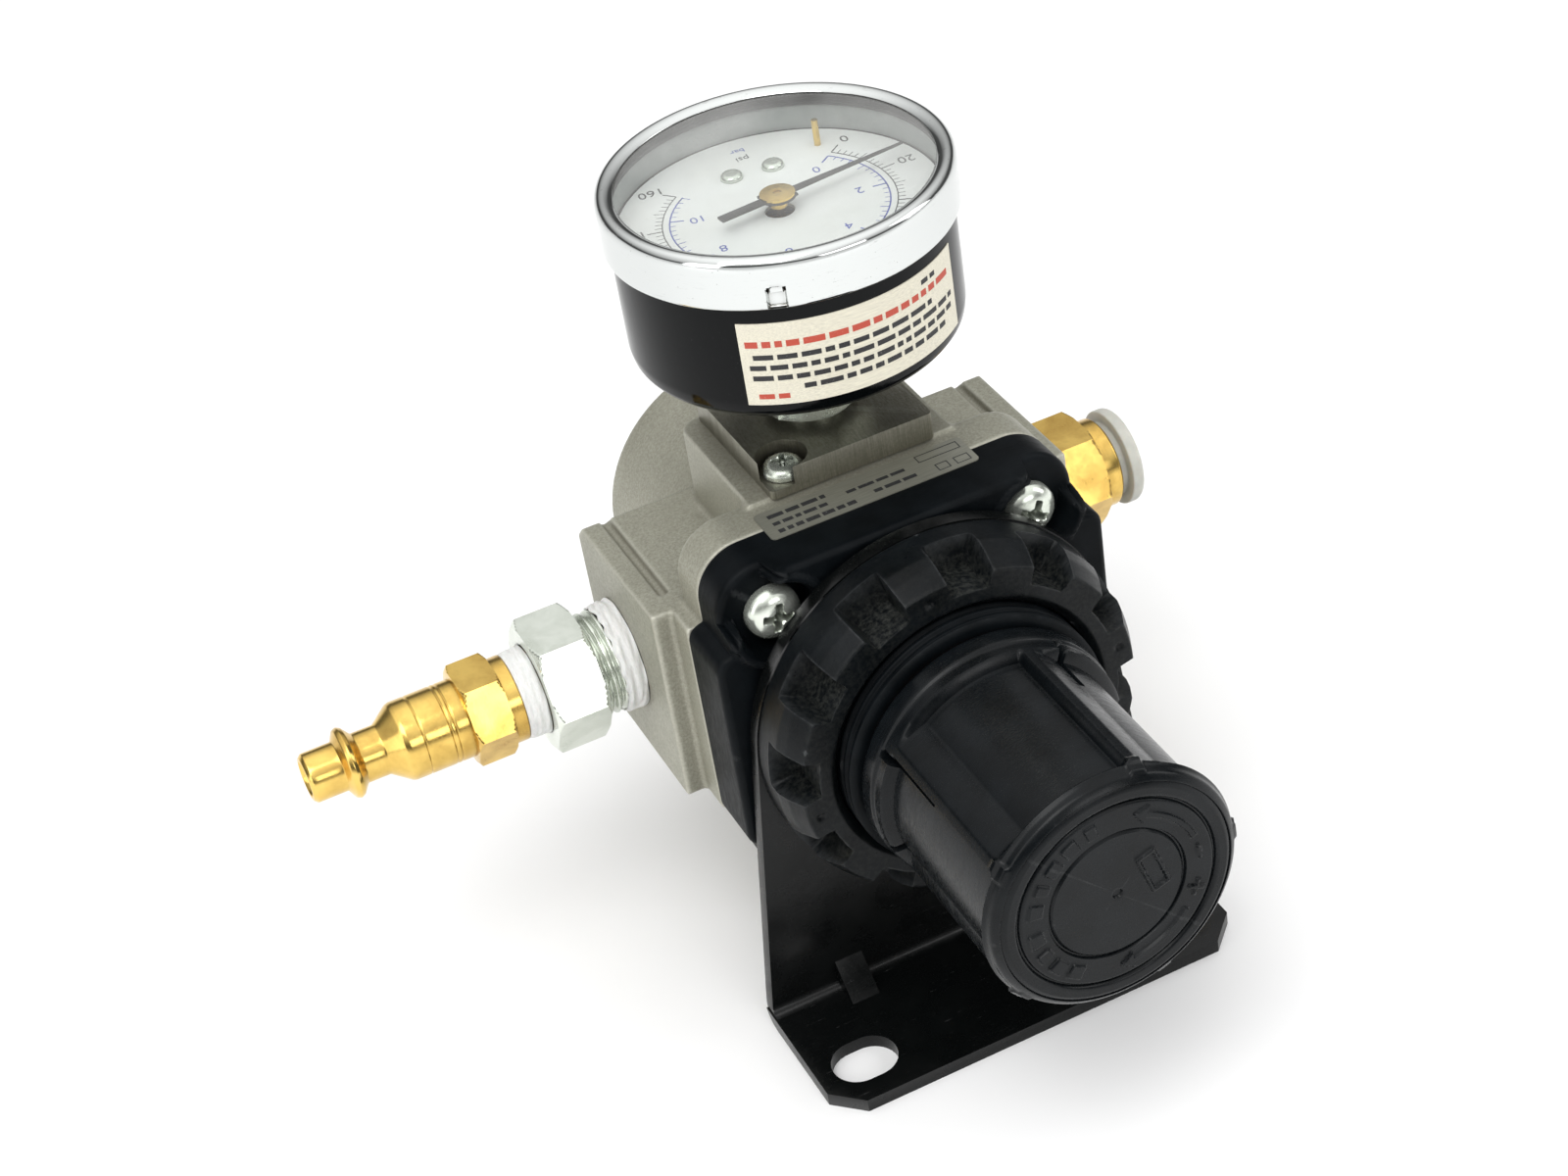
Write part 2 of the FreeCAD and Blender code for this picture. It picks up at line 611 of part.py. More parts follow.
def quick_connect_plug():
    solid = turned([(0, 39.0), (NPT14_R - 0.4, 39.0), (NPT14_R, 50.0), (NPT14_R, 54.0), (6.9, 54.2),
                    (6.9, 56.6), (5.0, 56.6), (5.0, 61.0), (6.3, 61.0), (6.3, 64.5), (6.0, 64.7),
                    (6.0, 65.1), (6.3, 65.3), (6.3, 66.5), (6.0, 66.7), (6.0, 67.1), (6.3, 67.3),
                    (6.3, 72.6), (6.0, 73.4), (4.0, 76.0), (4.0, 79.2), (5.45, 80.4), (5.7, 81.0),
                    (5.45, 81.7), (PLUG_TIP_R, PLUG_END - 0.6 - PLUG_TIP_LENGTH),
                    (PLUG_TIP_R, PLUG_END - 0.6), (PLUG_TIP_R - 0.55, PLUG_END), (0, PLUG_END)])
    solid = solid.fuse(hexagon(14.3, 56.2, 62.5, 0.8))
    bore = turned([(0, 30), (2.4, 30), (2.4, PLUG_END - 0.8), (3.0, PLUG_END + 1.2), (0, PLUG_END + 1.2)])
    return solid.cut(bore)


def plug_thread_tape():
    return ring(NPT14_R + 0.45, NPT14_R, BUSHING_FACE, 54.0)


def outlet_fitting_body():
    solid = rod(NPT38_R - 0.1, 24.0, 37.0).fuse(hexagon(17.0, PORT_FACE + 1.2, 46.8, 1.0))
    solid = solid.fuse(turned([(0, 45.0), (7.4, 45.0), (7.4, FITTING_END - 0.4), (7.0, FITTING_END),
                               (0, FITTING_END)]))
    room = turned([(0, 23.0), (4.0, 23.0), (4.0, 34.0), (TUBE_R + 0.05, 34.0), (TUBE_R + 0.05, 37.9),
                   (6.6, 37.9), (6.6, 47.9), (6.2, 47.9), (6.2, FITTING_END + 1), (0, FITTING_END + 1)])
    return solid.cut(room)


def outlet_tube_seal():
    return ring(6.55, TUBE_R + 0.05, 38.0, 40.2)


def outlet_guide_ring():
    return ring(6.5, 5.2, 40.3, 41.4)


def outlet_collet():
    """Split steel claw whose fingers lean in towards the tube."""
    solid = turned([(5.9, 41.6), (6.5, 41.6), (6.5, 45.0), (5.3, 46.6), (4.9, 46.6), (5.9, 44.6)])
    for step in range(4):
        slit = block(0, 8, -0.4, 0.4, 42.6, 47)
        solid = solid.cut(around(slit, 90 * step))
    return solid


def outlet_release_ring():
    flange = FITTING_END + RELEASE_TRAVEL
    return turned([(TUBE_R + 0.05, 48.3), (6.1, 48.3), (6.1, flange + 0.1), (8.0, flange + 0.1),
                   (8.0, flange + 1.8), (7.6, flange + 2.3), (5.6, flange + 2.3),
                   (TUBE_R + 0.05, flange + 1.6)])


# ---------------------------------------------------------------- gauge
def dial_angle(pressure):
    """Direction of a reading on the dial, in degrees from +X towards +Y."""
    zero = 90.0 + DIAL_TURN - (360.0 - SCALE_SWEEP) / 2
    return zero - SCALE_SWEEP * pressure / SCALE_FULL


def gauge_socket():
    solid = rod(4.85, 75.4, PLATE_TOP + 2.0).fuse(hexagon(14.0, PLATE_TOP + 1.4, 93.5, 1.0))
    solid = solid.fuse(rod(6.0, 93.0, 99.8)).fuse(rod(8.2, 94.6, CASE_LOW - 0.1))
    solid = solid.fuse(block(-4.5, 4.5, -4.5, 4.5, 99.8, 104.0))
    return solid.cut(rod(1.5, 74.0, 102.0))


def gauge_case():
    low = CASE_LOW
    wall = 0.9
    high = 121.4
    return turned([(6.1, low), (CASE_R - 3.0, low), (CASE_R - 1.2, low + 0.6), (CASE_R - 0.3, low + 1.7),
                   (CASE_R, low + 3.2), (CASE_R, high), (CASE_R - wall, high), (CASE_R - wall, low + 3.4),
                   (CASE_R - 1.8, low + 1.7), (CASE_R - 3.2, low + wall), (6.1, low + wall)])


def gauge_bezel():
    inside = CASE_R + 0.05
    return turned([(inside, BEZEL_LOW), (BEZEL_R - 0.2, BEZEL_LOW), (BEZEL_R, BEZEL_LOW + 0.2),
                   (BEZEL_R, GAUGE_TOP - 1.3), (BEZEL_R - 0.4, GAUGE_TOP - 0.45), (BEZEL_R - 1.2, GAUGE_TOP),
                   (BEZEL_R - 1.9, GAUGE_TOP - 0.25), (BEZEL_R - 2.3, GAUGE_TOP - 0.8),
                   (inside, GAUGE_TOP - 0.8)])


def gauge_window():
    return rod(CASE_R - 0.1, WINDOW_TOP - 1.7, WINDOW_TOP)


def gauge_window_gasket():
    return ring(CASE_R - 0.1, CASE_R - 1.2, 121.45, WINDOW_TOP - 1.75)


def gauge_dial():
    solid = rod(CASE_R - 1.2, DIAL_TOP - 0.5, DIAL_TOP).cut(rod(2.2, 110, 125))
    for hole in dial_fixings(0.9, DIAL_TOP - 1, DIAL_TOP + 1):
        solid = solid.cut(hole)
    return solid


def dial_fixings(radius, low, high):
    """Two dial screw positions, one each side of the dial's lower centre line."""
    items = []
    for side in (-14, 14):
        angle = math.radians(90.0 + DIAL_TURN + side)
        items.append(rod(radius, low, high, 13.2 * math.cos(angle), 13.2 * math.sin(angle)))
    return items


def gauge_dial_screws():
    heads = dial_fixings(1.7, DIAL_TOP, DIAL_TOP + 0.9)
    shanks = dial_fixings(0.85, FRAME_TOP, DIAL_TOP + 0.2)
    screws = []
    for head, shank in zip(heads, shanks):
        rims = [edge for edge in head.Edges if edge.BoundBox.ZMin > DIAL_TOP + 0.8]
        screws.append(head.makeFillet(0.7, rims).fuse(shank))
    return Part.makeCompound(screws)


def gauge_stop_pin():
    angle = math.radians(dial_angle(-5.5))
    return rod(0.5, DIAL_TOP, WINDOW_TOP - 2.2, 19.0 * math.cos(angle), 19.0 * math.sin(angle))


def gauge_pointer():
    """Flat pointer that lies along local +X before it is turned to its reading."""
    outline = [(-9.6, -0.8), (-2.4, -0.8), (-2.4, -1.8), (2.4, -1.8), (2.4, -0.65), (21.4, -0.15),
               (21.4, 0.15), (2.4, 0.65), (2.4, 1.8), (-2.4, 1.8), (-2.4, 0.8), (-9.6, 0.8), (-9.6, -0.8)]
    face = Part.Face(Part.makePolygon([Vector(x, y, POINTER_LOW) for x, y in outline]))
    solid = face.extrude(Vector(0, 0, POINTER_THICK)).fuse(rod(2.7, POINTER_LOW, POINTER_LOW + POINTER_THICK))
    return around(solid.cut(rod(1.3, POINTER_LOW - 1, POINTER_LOW + 1)), dial_angle(READING))


def gauge_pointer_hub():
    return turned([(0.62, POINTER_LOW - 1.4), (1.25, POINTER_LOW - 1.4), (1.25, POINTER_LOW + POINTER_THICK),
                   (HUB_R, POINTER_LOW + POINTER_THICK), (HUB_R, POINTER_LOW + 0.7), (1.2, POINTER_LOW + 0.8),
                   (0.62, POINTER_LOW + 0.8)])


def gear_teeth(pitch_r, count, first, last, phase):
    """Outline points of teeth numbered first to last, on a circle of count teeth."""
    tip = pitch_r + 0.3
    root = pitch_r - 0.42
    points = []
    for tooth in range(first, last + 1):
        middle = phase + 360.0 * tooth / count
        width = 360.0 / count
        for radius, shift in ((root, -0.27), (tip, -0.10), (tip, 0.10), (root, 0.27)):
            angle = math.radians(middle + shift * width)
            points.append(Vector(radius * math.cos(angle), radius * math.sin(angle), 0))
    return points


def gauge_pinion_arbor():
    points = gear_teeth(PINION_R, PINION_TEETH, 0, PINION_TEETH - 1, 180.0)
    pinion = Part.Face(Part.makePolygon(points + [points[0]])).extrude(Vector(0, 0, GEAR_THICK + 0.8))
    pinion.translate(Vector(0, 0, GEAR_LOW - 0.4))
    return pinion.fuse(rod(0.6, FRAME_LOW + 0.2, POINTER_LOW + 0.6))


def gauge_sector_gear():
    """Toothed sector with a link arm, pivoted on its own arbor beside the pinion."""
    points = gear_teeth(SECTOR_R, SECTOR_TEETH, -8, 2, 360.0 / SECTOR_TEETH / 2)
    inner = []
    for side in (1, -1):
        inner.append(Vector(2.2 * side * -0.3, 2.2 * side, 0))
    face = Part.Face(Part.makePolygon(points + inner + [points[0]]))
    sector = face.extrude(Vector(0, 0, GEAR_THICK))
    arm = block(0, LINK_R + 1.0, -1.0, 1.0, 0, GEAR_THICK).fuse(rod(0.55, -1.6, 0.1, LINK_R, 0))
    sector = sector.fuse([around(arm, ARM_ANGLE), rod(2.4, 0, GEAR_THICK)])
    sector.translate(Vector(0, 0, GEAR_LOW))
    sector = sector.fuse(rod(0.7, FRAME_LOW + 0.2, FRAME_TOP - 0.2))
    return placed(sector, Vector(SECTOR_X, 0, 0), Rotation())


def gauge_movement_frame():
    """Two brass plates on two pillars, with bearing holes for both arbors."""
    parts = []
    for low in (FRAME_LOW, FRAME_TOP - FRAME_PLATE):
        plate = block(SECTOR_X - 2.6, 9.0, -4.0, 4.0, low, low + FRAME_PLATE)
        plate = plate.fuse(block(-2.0, 9.0, -4.0, 14.5, low, low + FRAME_PLATE))
        plate = plate.cut(rod(0.65, low - 1, low + 3))
        plate = plate.cut(rod(0.75, low - 1, low + 3, SECTOR_X, 0))
        parts.append(plate)
    for x, y in ((7.0, -1.5), (7.0, 12.0)):
        parts.append(rod(1.2, FRAME_LOW + 0.5, FRAME_TOP - 0.5, x, y))
    stand = block(4.6, 9.0, -3.0, 3.0, 103.0, FRAME_LOW + 0.5)
    foot = block(4.5, 9.0, -3.0, 3.0, 101.0, 103.5)
    parts += [stand, foot]
    solid = parts[0].fuse(parts[1:])
    for fixing in dial_fixings(0.9, FRAME_TOP - 3, FRAME_TOP + 1):
        solid = solid.cut(fixing)
    return solid.removeSplitter()


def gauge_dial_posts():
    """Short posts that carry the dial above the movement."""
    posts = []
    for outer, inner in zip(dial_fixings(1.8, FRAME_TOP, DIAL_TOP - 0.5), dial_fixings(0.9, 110, 125)):
        posts.append(outer.cut(inner))
    return Part.makeCompound(posts)


def gauge_bourdon_tube():
    """Flattened tube bent to a C, closed at its tip."""
    centre = Vector(math.hypot(LINK_X, TIP_Y), 0, 103.6)
    edge = Part.Ellipse(centre, 2.4, 0.8).toShape()
    edge.rotate(centre, Vector(1, 0, 0), 90)
    edge.rotate(centre, Vector(0, 1, 0), 90)
    face = Part.Face(Part.Wire(edge))
    tip_angle = math.degrees(math.atan2(TIP_Y, LINK_X))
    tube = face.revolve(Vector(0, 0, 0), Vector(0, 0, 1), tip_angle - TUBE_ROOT_ANGLE)
    tube = around(tube, TUBE_ROOT_ANGLE)
    arm = block(4.4, centre.x, -1.3, 1.3, 102.2, 103.8)
    tip = rod(1.6, 102.0, GEAR_LOW - 1.7, LINK_X, TIP_Y).fuse(rod(0.55, 103, GEAR_LOW - 0.5, LINK_X, TIP_Y))
    return tube.fuse([around(arm, TUBE_ROOT_ANGLE + 2), tip])


def gauge_link():
    """Flat bar from the tube's tip to the sector's arm."""
    low = GEAR_LOW - 1.5
    high = low + 0.8
    bar = block(LINK_X - 0.9, LINK_X + 0.9, LINK_Y, TIP_Y, low, high)
    bar = bar.fuse([rod(1.5, low, high, LINK_X, LINK_Y), rod(1.3, low, high, LINK_X, TIP_Y)])
    bar = bar.cut(rod(0.85, low - 1, high + 1, LINK_X, LINK_Y))
    return bar.cut(rod(0.62, low - 1, high + 1, LINK_X, TIP_Y))


def gauge_hairspring():
    """Flat spiral spring above the frame, drawn as a thin spiral strip."""
    turns = 4
    steps = 24 * turns
    inner_r = 1.4
    growth = 0.85
    thick = 0.14
    outer = []
    inner = []
    for step in range(steps + 1):
        angle = 2 * math.pi * step / 24
        radius = inner_r + growth * step / 24
        outer.append(Vector((radius + thick) * math.cos(angle), (radius + thick) * math.sin(angle), 0))
        inner.append(Vector(radius * math.cos(angle), radius * math.sin(angle), 0))
    points = outer + inner[::-1]
    strip = Part.Face(Part.makePolygon(points + [points[0]])).extrude(Vector(0, 0, 0.7))
    strip.translate(Vector(0, 0, FRAME_TOP + 0.6))
    return strip


def gauge_label():
    """Thin paper label on the case, facing the knob."""
    first = -131.0
    sweep = 84.0
    shell = ring(CASE_R + 0.15, CASE_R + 0.01, CASE_LOW + 3.4, BEZEL_LOW - 2.6)
    reach = CASE_R + 5
    face = Part.Face(Part.makePolygon([Vector(0, 0, 90), Vector(reach, 0, 90), Vector(reach, 0, 120),
                                       Vector(0, 0, 120), Vector(0, 0, 90)]))
    sector = face.revolve(Vector(0, 0, 0), Vector(0, 0, 1), sweep)
    return shell.common(around(sector, first))


# ---------------------------------------------------------------- write every node
os.makedirs("parts", exist_ok=True)

MAIN_AXIS_PARTS = [
    set_nut, bonnet, bonnet_screws, lock_band, adjusting_screw, thrust_washer, spring_seat_nut, knob,
    diaphragm, diaphragm_plate, diaphragm_retainer, valve_stem, valve_poppet, poppet_seal, valve_spring,
    valve_guide_cap, valve_guide_o_ring,
]
INLET_PARTS = [inlet_bushing, inlet_thread_tape, quick_connect_plug, plug_thread_tape]
OUTLET_PARTS = [outlet_fitting_body, outlet_tube_seal, outlet_guide_ring, outlet_collet, outlet_release_ring]
GAUGE_PARTS = [
    gauge_socket, gauge_case, gauge_bezel, gauge_window, gauge_window_gasket, gauge_dial, gauge_dial_screws,
    gauge_dial_posts, gauge_stop_pin, gauge_pointer, gauge_pointer_hub, gauge_pinion_arbor, gauge_sector_gear,
    gauge_movement_frame, gauge_bourdon_tube, gauge_link, gauge_hairspring, gauge_label,
]
PLACED_PARTS = [bracket, body, gauge_plate, gauge_plate_screws, gauge_plate_o_ring, nameplate]

for make in PLACED_PARTS:
    keep(make.__name__, make())
for place, group in ((on_main_axis, MAIN_AXIS_PARTS), (on_inlet_axis, INLET_PARTS),
                     (on_outlet_axis, OUTLET_PARTS), (on_gauge_axis, GAUGE_PARTS)):
    for make in group:
        keep(make.__name__, place(make()))
keep("adjusting_spring", on_main_axis(coil(9.3, 1.2, PARTING + 1.5, SEAT_NUT_LOW - 0.05, 7)))
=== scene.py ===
"""Looks of a panel-mount air pressure regulator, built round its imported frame.

Lengths in this script are millimetres in the row frame and become metres when a mesh is made.
Local frames follow the CAD: on the main axis, height counts forward from the panel plane.
"""

import json
import math
import random

import bmesh
import bpy
import numpy as np
from mathutils import Matrix, Vector


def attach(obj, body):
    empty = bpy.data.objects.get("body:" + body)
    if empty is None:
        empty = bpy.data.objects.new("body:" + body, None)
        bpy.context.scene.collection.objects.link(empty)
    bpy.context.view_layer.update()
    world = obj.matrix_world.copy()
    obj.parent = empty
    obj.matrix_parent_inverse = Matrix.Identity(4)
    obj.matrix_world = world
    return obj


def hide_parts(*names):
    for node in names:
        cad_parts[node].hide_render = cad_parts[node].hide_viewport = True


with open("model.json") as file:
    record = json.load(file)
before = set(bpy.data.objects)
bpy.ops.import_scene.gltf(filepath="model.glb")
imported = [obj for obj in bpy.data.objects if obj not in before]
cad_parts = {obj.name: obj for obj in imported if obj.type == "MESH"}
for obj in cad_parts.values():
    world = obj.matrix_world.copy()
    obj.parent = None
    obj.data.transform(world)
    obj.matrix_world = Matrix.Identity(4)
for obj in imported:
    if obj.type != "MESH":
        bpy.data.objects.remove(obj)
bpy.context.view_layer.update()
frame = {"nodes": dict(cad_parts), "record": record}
NODES = frame["nodes"]
SLOTS = {part["node"]: part["material_slot"] for part in frame["record"]["subparts"]}
BODY_OF = {node: body for body, nodes in frame["record"]["behaviour"]["bodies"].items() for node in nodes}

MM = 0.001
TAU = 2 * math.pi
PANEL_Y = 18.5        # plane of the panel that the set nut clamps
AXIS_Z = 50.0         # height of the main axis above the foot
PORT_BACK = 35.0      # from the panel plane back to the ports' axis
GAUGE_BACK = 30.5     # from the panel plane back to the gauge's axis
DIAL_TURN = -7.0      # degrees that the dial is turned on the gauge's axis
DIAL_TOP = 117.4
INK = 0.03            # height of print above its ground
KNOB_FACE = 54.28
KNOB_TOP = 54.68
KNOB_PANELS = 5
MARK_RING = 12.9      # radius of the ring of marks on the knob's end
NUT_POCKETS = 12
NUT_FLOOR = 24.6      # radius of the floors of the set nut's pockets
BONNET_FACE = -1.2
SCREW_REACH = 21.0    # from the main axis to a bonnet screw, both ways
SCREW_SEAT = -5.0
PIPE_PITCH = 1.41
BUSHING_HEX = (19.05, 41.8, 50.5)     # across flats, low end, high end
PLUG_HEX = (14.3, 56.2, 62.5)
OUTLET_HEX = (17.0, 36.2, 46.8)
STEM_HEX = (14.0, 85.6, 93.5)


def link_new(name, data):
    """A new object in the scene that holds this data."""
    item = bpy.data.objects.new(name, data)
    bpy.context.scene.collection.objects.link(item)
    return item


# ---------------- camera, light and floor
def make_camera():
    """Camera above the knob's left, rolled a little and aimed beside a target on the panel plane."""
    azimuth, elevation, roll = -19.620, 36.368, -9.922
    aside_x, aside_y, distance = -21.792, 14.463, 437.345
    target = Matrix.Translation(Vector((0.0, PANEL_Y, AXIS_Z)) * MM)
    orbit = Matrix.Rotation(math.radians(azimuth), 4, "Z")
    orbit = orbit @ Matrix.Rotation(math.radians(90.0 - elevation), 4, "X")
    away = Matrix.Translation(Vector((aside_x, aside_y, distance)) * MM)
    data = bpy.data.cameras.new("camera")
    data.lens = 67.54
    data.sensor_width = 36.0
    data.clip_start = 0.01
    camera = link_new("camera", data)
    camera.matrix_world = target @ orbit @ Matrix.Rotation(math.radians(roll), 4, "Z") @ away
    bpy.context.scene.camera = camera


def area_light(name, position, aim, size, power, colour=(1.0, 1.0, 1.0)):
    """Rectangular soft light that faces a point; positions are in metres."""
    data = bpy.data.lights.new(name, "AREA")
    data.shape = "RECTANGLE"
    data.size, data.size_y = size
    data.energy = power
    data.color = colour
    lamp = link_new(name, data)
    lamp.location = position
    lamp.rotation_euler = (Vector(aim) - Vector(position)).to_track_quat("-Z", "Y").to_euler()


def make_world():
    """Surroundings by height only: a pale horizon, a dim band above it and a bright ceiling."""
    world = bpy.data.worlds.new("studio")
    world.use_nodes = True
    tree = world.node_tree
    coordinates = tree.nodes.new("ShaderNodeTexCoord")
    split = tree.nodes.new("ShaderNodeSeparateXYZ")
    tree.links.new(coordinates.outputs["Generated"], split.inputs[0])
    ramp = tree.nodes.new("ShaderNodeValToRGB")
    tree.links.new(split.outputs["Z"], ramp.inputs["Fac"])
    stops = ((0.0, 0.5), (0.06, 0.44), (0.12, 0.04), (0.32, 0.06), (0.46, 0.34), (0.84, 0.9), (1.0, 1.0))
    for index, (position, value) in enumerate(stops):
        stop = ramp.color_ramp.elements[index] if index < 2 else ramp.color_ramp.elements.new(position)
        stop.position = position
        stop.color = (value, value, value, 1.0)
    background = tree.nodes["Background"]
    tree.links.new(ramp.outputs["Color"], background.inputs["Color"])
    background.inputs["Strength"].default_value = 1.42
    bpy.context.scene.world = world


def make_studio():
    """Room, a pale floor and four soft boxes."""
    make_world()
    bpy.context.scene.view_settings.view_transform = "Standard"
    area_light("key_box", (-0.3, -0.25, 0.8), (0, 0.03, 0.05), (0.5, 0.5), 2.7)
    area_light("left_box", (-0.75, -0.2, 0.35), (0, 0.0, 0.06), (0.35, 0.6), 1.1)
    area_light("front_box", (0.17, -0.72, 0.36), (-0.03, 0.03, 0.05), (0.4, 0.26), 1.0)
    area_light("right_box", (0.7, -0.25, 0.45), (0, 0.0, 0.05), (0.3, 0.5), 1.1)
    bpy.ops.mesh.primitive_grid_add(x_subdivisions=4, y_subdivisions=4, size=6.0, location=(0, 0, 0))
    floor = bpy.context.object
    floor.name = "floor"
    look = Look("floor_white")
    look.paint(Base_Color=rgb(0.95, 0.95, 0.95), Roughness=0.8, Specular_IOR_Level=0.2)
    floor.data.materials.append(look.material)


# ---------------- material tools
def rgb(red, green, blue):
    return (red, green, blue, 1.0)


def shade(colour, factor):
    return tuple(min(1.0, value * factor) for value in colour)


class Look:
    """A Principled material being made; its methods add nodes and return what they put out."""

    def __init__(self, name):
        self.material = bpy.data.materials.new(name)
        self.material.use_nodes = True
        self.tree = self.material.node_tree
        self.shader = self.tree.nodes["Principled BSDF"]
        self.where = self.in_mm((1.0, 1.0, 1.0))

    def feed(self, socket, value):
        """Links a socket to an input; anything else becomes the input's value."""
        if isinstance(value, bpy.types.NodeSocket):
            self.tree.links.new(value, socket)
        else:
            socket.default_value = value

    def add(self, kind, settings=None, **inputs):
        """Adds a node; an input is named, or numbered as i0, i1 and so on."""
        node = self.tree.nodes.new(kind)
        for key, value in (settings or {}).items():
            setattr(node, key, value)
        for key, value in inputs.items():
            numbered = key[0] == "i" and key[1:].isdigit()
            self.feed(node.inputs[int(key[1:]) if numbered else key.replace("_", " ")], value)
        return node

    def paint(self, **values):
        """Sets shader inputs by value or link."""
        for key, value in values.items():
            self.feed(self.shader.inputs[key.replace("_", " ")], value)

    def in_mm(self, scale):
        """Object coordinates in millimetres, stretched by scale."""
        coordinates = self.add("ShaderNodeTexCoord")
        mapping = self.add("ShaderNodeMapping", i0=coordinates.outputs["Object"])
        mapping.inputs["Scale"].default_value = [1000.0 * v for v in scale]
        return mapping.outputs[0]

    def noise(self, scale, detail=3.0, roughness=0.55, distortion=0.0, stretch=None):
        """Noise value from 0 to 1; scale is in cells per millimetre."""
        where = self.in_mm(stretch) if stretch else self.where
        return self.add("ShaderNodeTexNoise", Vector=where, Scale=scale, Detail=detail,
                        Roughness=roughness, Distortion=distortion).outputs["Fac"]

    def cells(self, scale, low, high):
        """1 close to the centres of scattered cells."""
        node = self.add("ShaderNodeTexVoronoi", Vector=self.where, Scale=scale)
        return self.spread(node.outputs["Distance"], high, low)

    def spread(self, value, low, high, out_low=0.0, out_high=1.0):
        """Maps low..high to out_low..out_high, clamped."""
        node = self.add("ShaderNodeMapRange", Value=value, From_Min=low, From_Max=high, To_Min=out_low,
                        To_Max=out_high)
        return node.outputs["Result"]

    def math(self, operation, first, second):
        return self.add("ShaderNodeMath", {"operation": operation}, i0=first, i1=second).outputs[0]

    def times(self, first, second):
        return self.math("MULTIPLY", first, second)

    def blend(self, amount, first, second):
        """Colour mix by amount."""
        return self.add("ShaderNodeMix", {"data_type": "RGBA"}, i0=amount, i6=first, i7=second).outputs[2]

    def mottle(self, value, low, high, first, second):
        """Two colours, mixed by a value that runs from low to high."""
        return self.blend(self.spread(value, low, high), rgb(*first), rgb(*second))

    def layer(self, base, mask, amount, colour):
        """Lays a colour over the base where the mask is 1, covering at most this amount."""
        return self.blend(self.times(mask, amount), base, rgb(*colour))

    def edges(self, low, high):
        """1 on sharp convex edges, 0 on flats."""
        return self.spread(self.add("ShaderNodeNewGeometry").outputs["Pointiness"], low, high)

    def hollow(self, reach, low=0.3, high=0.8):
        """Mask of painted shade from ambient occlusion: 1 in narrow recesses, 0 in the open; reach is in
        millimetres.
        """
        node = self.add("ShaderNodeAmbientOcclusion", {"samples": 6}, Distance=reach * MM)
        return self.spread(node.outputs["AO"], high, low)

    def bump(self, *layers):
        """Stacks bump layers, each (height, strength, distance in millimetres)."""
        below = None
        for height, strength, distance in layers:
            node = self.add("ShaderNodeBump", Height=height, Strength=strength, Distance=distance * MM)
            if below:
                self.tree.links.new(below, node.inputs["Normal"])
            below = node.outputs[0]
        self.paint(Normal=below)


# ---------------- materials
def nylon_black(name, rough=0.42, grain=0.05, dusty=False, shine=0.06, edge_wear_and_sheen=0.04):
    """Moulded black nylon: fine spark-eroded grain, handling marks, sharp edges lighter where rubbed (partly
    wear, partly a painted highlight), dust where an attribute says.
    """
    look = Look(name)
    cloud = look.noise(0.16, 4.0)
    fine = look.noise(5.0, 2.0)
    rub = look.noise(0.9, 5.0, 0.7, stretch=(0.5, 1.7, 0.5))
    base = look.mottle(cloud, 0.35, 0.7, (0.0018, 0.0027, 0.0034), (0.005, 0.0066, 0.008))
    # Sharp edges lighter where rubbed: partly wear, partly a painted highlight.
    base = look.blend(look.times(look.edges(0.52, 0.62), look.spread(rub, 0.3, 0.8)),
                      base, rgb(edge_wear_and_sheen, edge_wear_and_sheen * 1.06, edge_wear_and_sheen * 1.1))
    roughness = look.spread(rub, 0.3, 0.75, rough - 0.07, rough + 0.1)
    if dusty:
        amount = look.add("ShaderNodeAttribute", {"attribute_name": "dust"}).outputs["Fac"]
        clumps = look.spread(look.noise(1.3, 6.0, 0.75), 0.42, 0.68)
        amount = look.times(amount, clumps)
        base = look.blend(amount, base, rgb(0.06, 0.062, 0.055))
        roughness = look.math("MAXIMUM", roughness, look.times(amount, 0.8))
    look.paint(Base_Color=base, Roughness=roughness, IOR=1.53, Specular_IOR_Level=shine)
    look.bump((fine, 0.5, grain), (rub, 0.25, grain))
    return look.material


def black_paint(name):
    """Semi-gloss powder coat: orange peel, rubbed edges, a few fine scratches."""
    look = Look(name)
    peel = look.noise(0.75, 2.0)
    speck = look.spread(look.noise(2.6, 3.0, 0.6), 0.68, 0.75)
    scratch = look.noise(1.8, 4.0, 0.7, 0.4, stretch=(0.12, 2.2, 2.2))
    scratch = look.spread(scratch, 0.66, 0.72)
    base = look.blend(speck, rgb(0.0025, 0.003, 0.003), rgb(0.016, 0.017, 0.017))
    base = look.layer(base, scratch, 0.35, (0.12, 0.12, 0.12))
    base = look.layer(base, look.edges(0.54, 0.66), 0.5, (0.2, 0.2, 0.2))
    roughness = look.spread(look.noise(0.2, 5.0), 0.35, 0.7, 0.22, 0.36)
    look.paint(Base_Color=base, Roughness=roughness, IOR=1.5, Specular_IOR_Level=0.26)
    look.bump((peel, 0.35, 0.05), (speck, 0.3, 0.03))
    return look.material


def gloss_paint(name):
    """Glossy black enamel with faint dust and smears."""
    look = Look(name)
    smear = look.noise(0.35, 5.0, 0.65, stretch=(1.0, 1.0, 0.35))
    dust = look.spread(look.noise(4.5, 2.0), 0.71, 0.76)
    base = look.blend(dust, rgb(0.002, 0.0025, 0.0028), rgb(0.04, 0.042, 0.042))
    look.paint(Base_Color=base, Roughness=look.spread(smear, 0.4, 0.75, 0.07, 0.2), IOR=1.52,
               Specular_IOR_Level=0.13)
    look.bump((look.noise(0.4, 1.0), 0.15, 0.04))
    return look.material


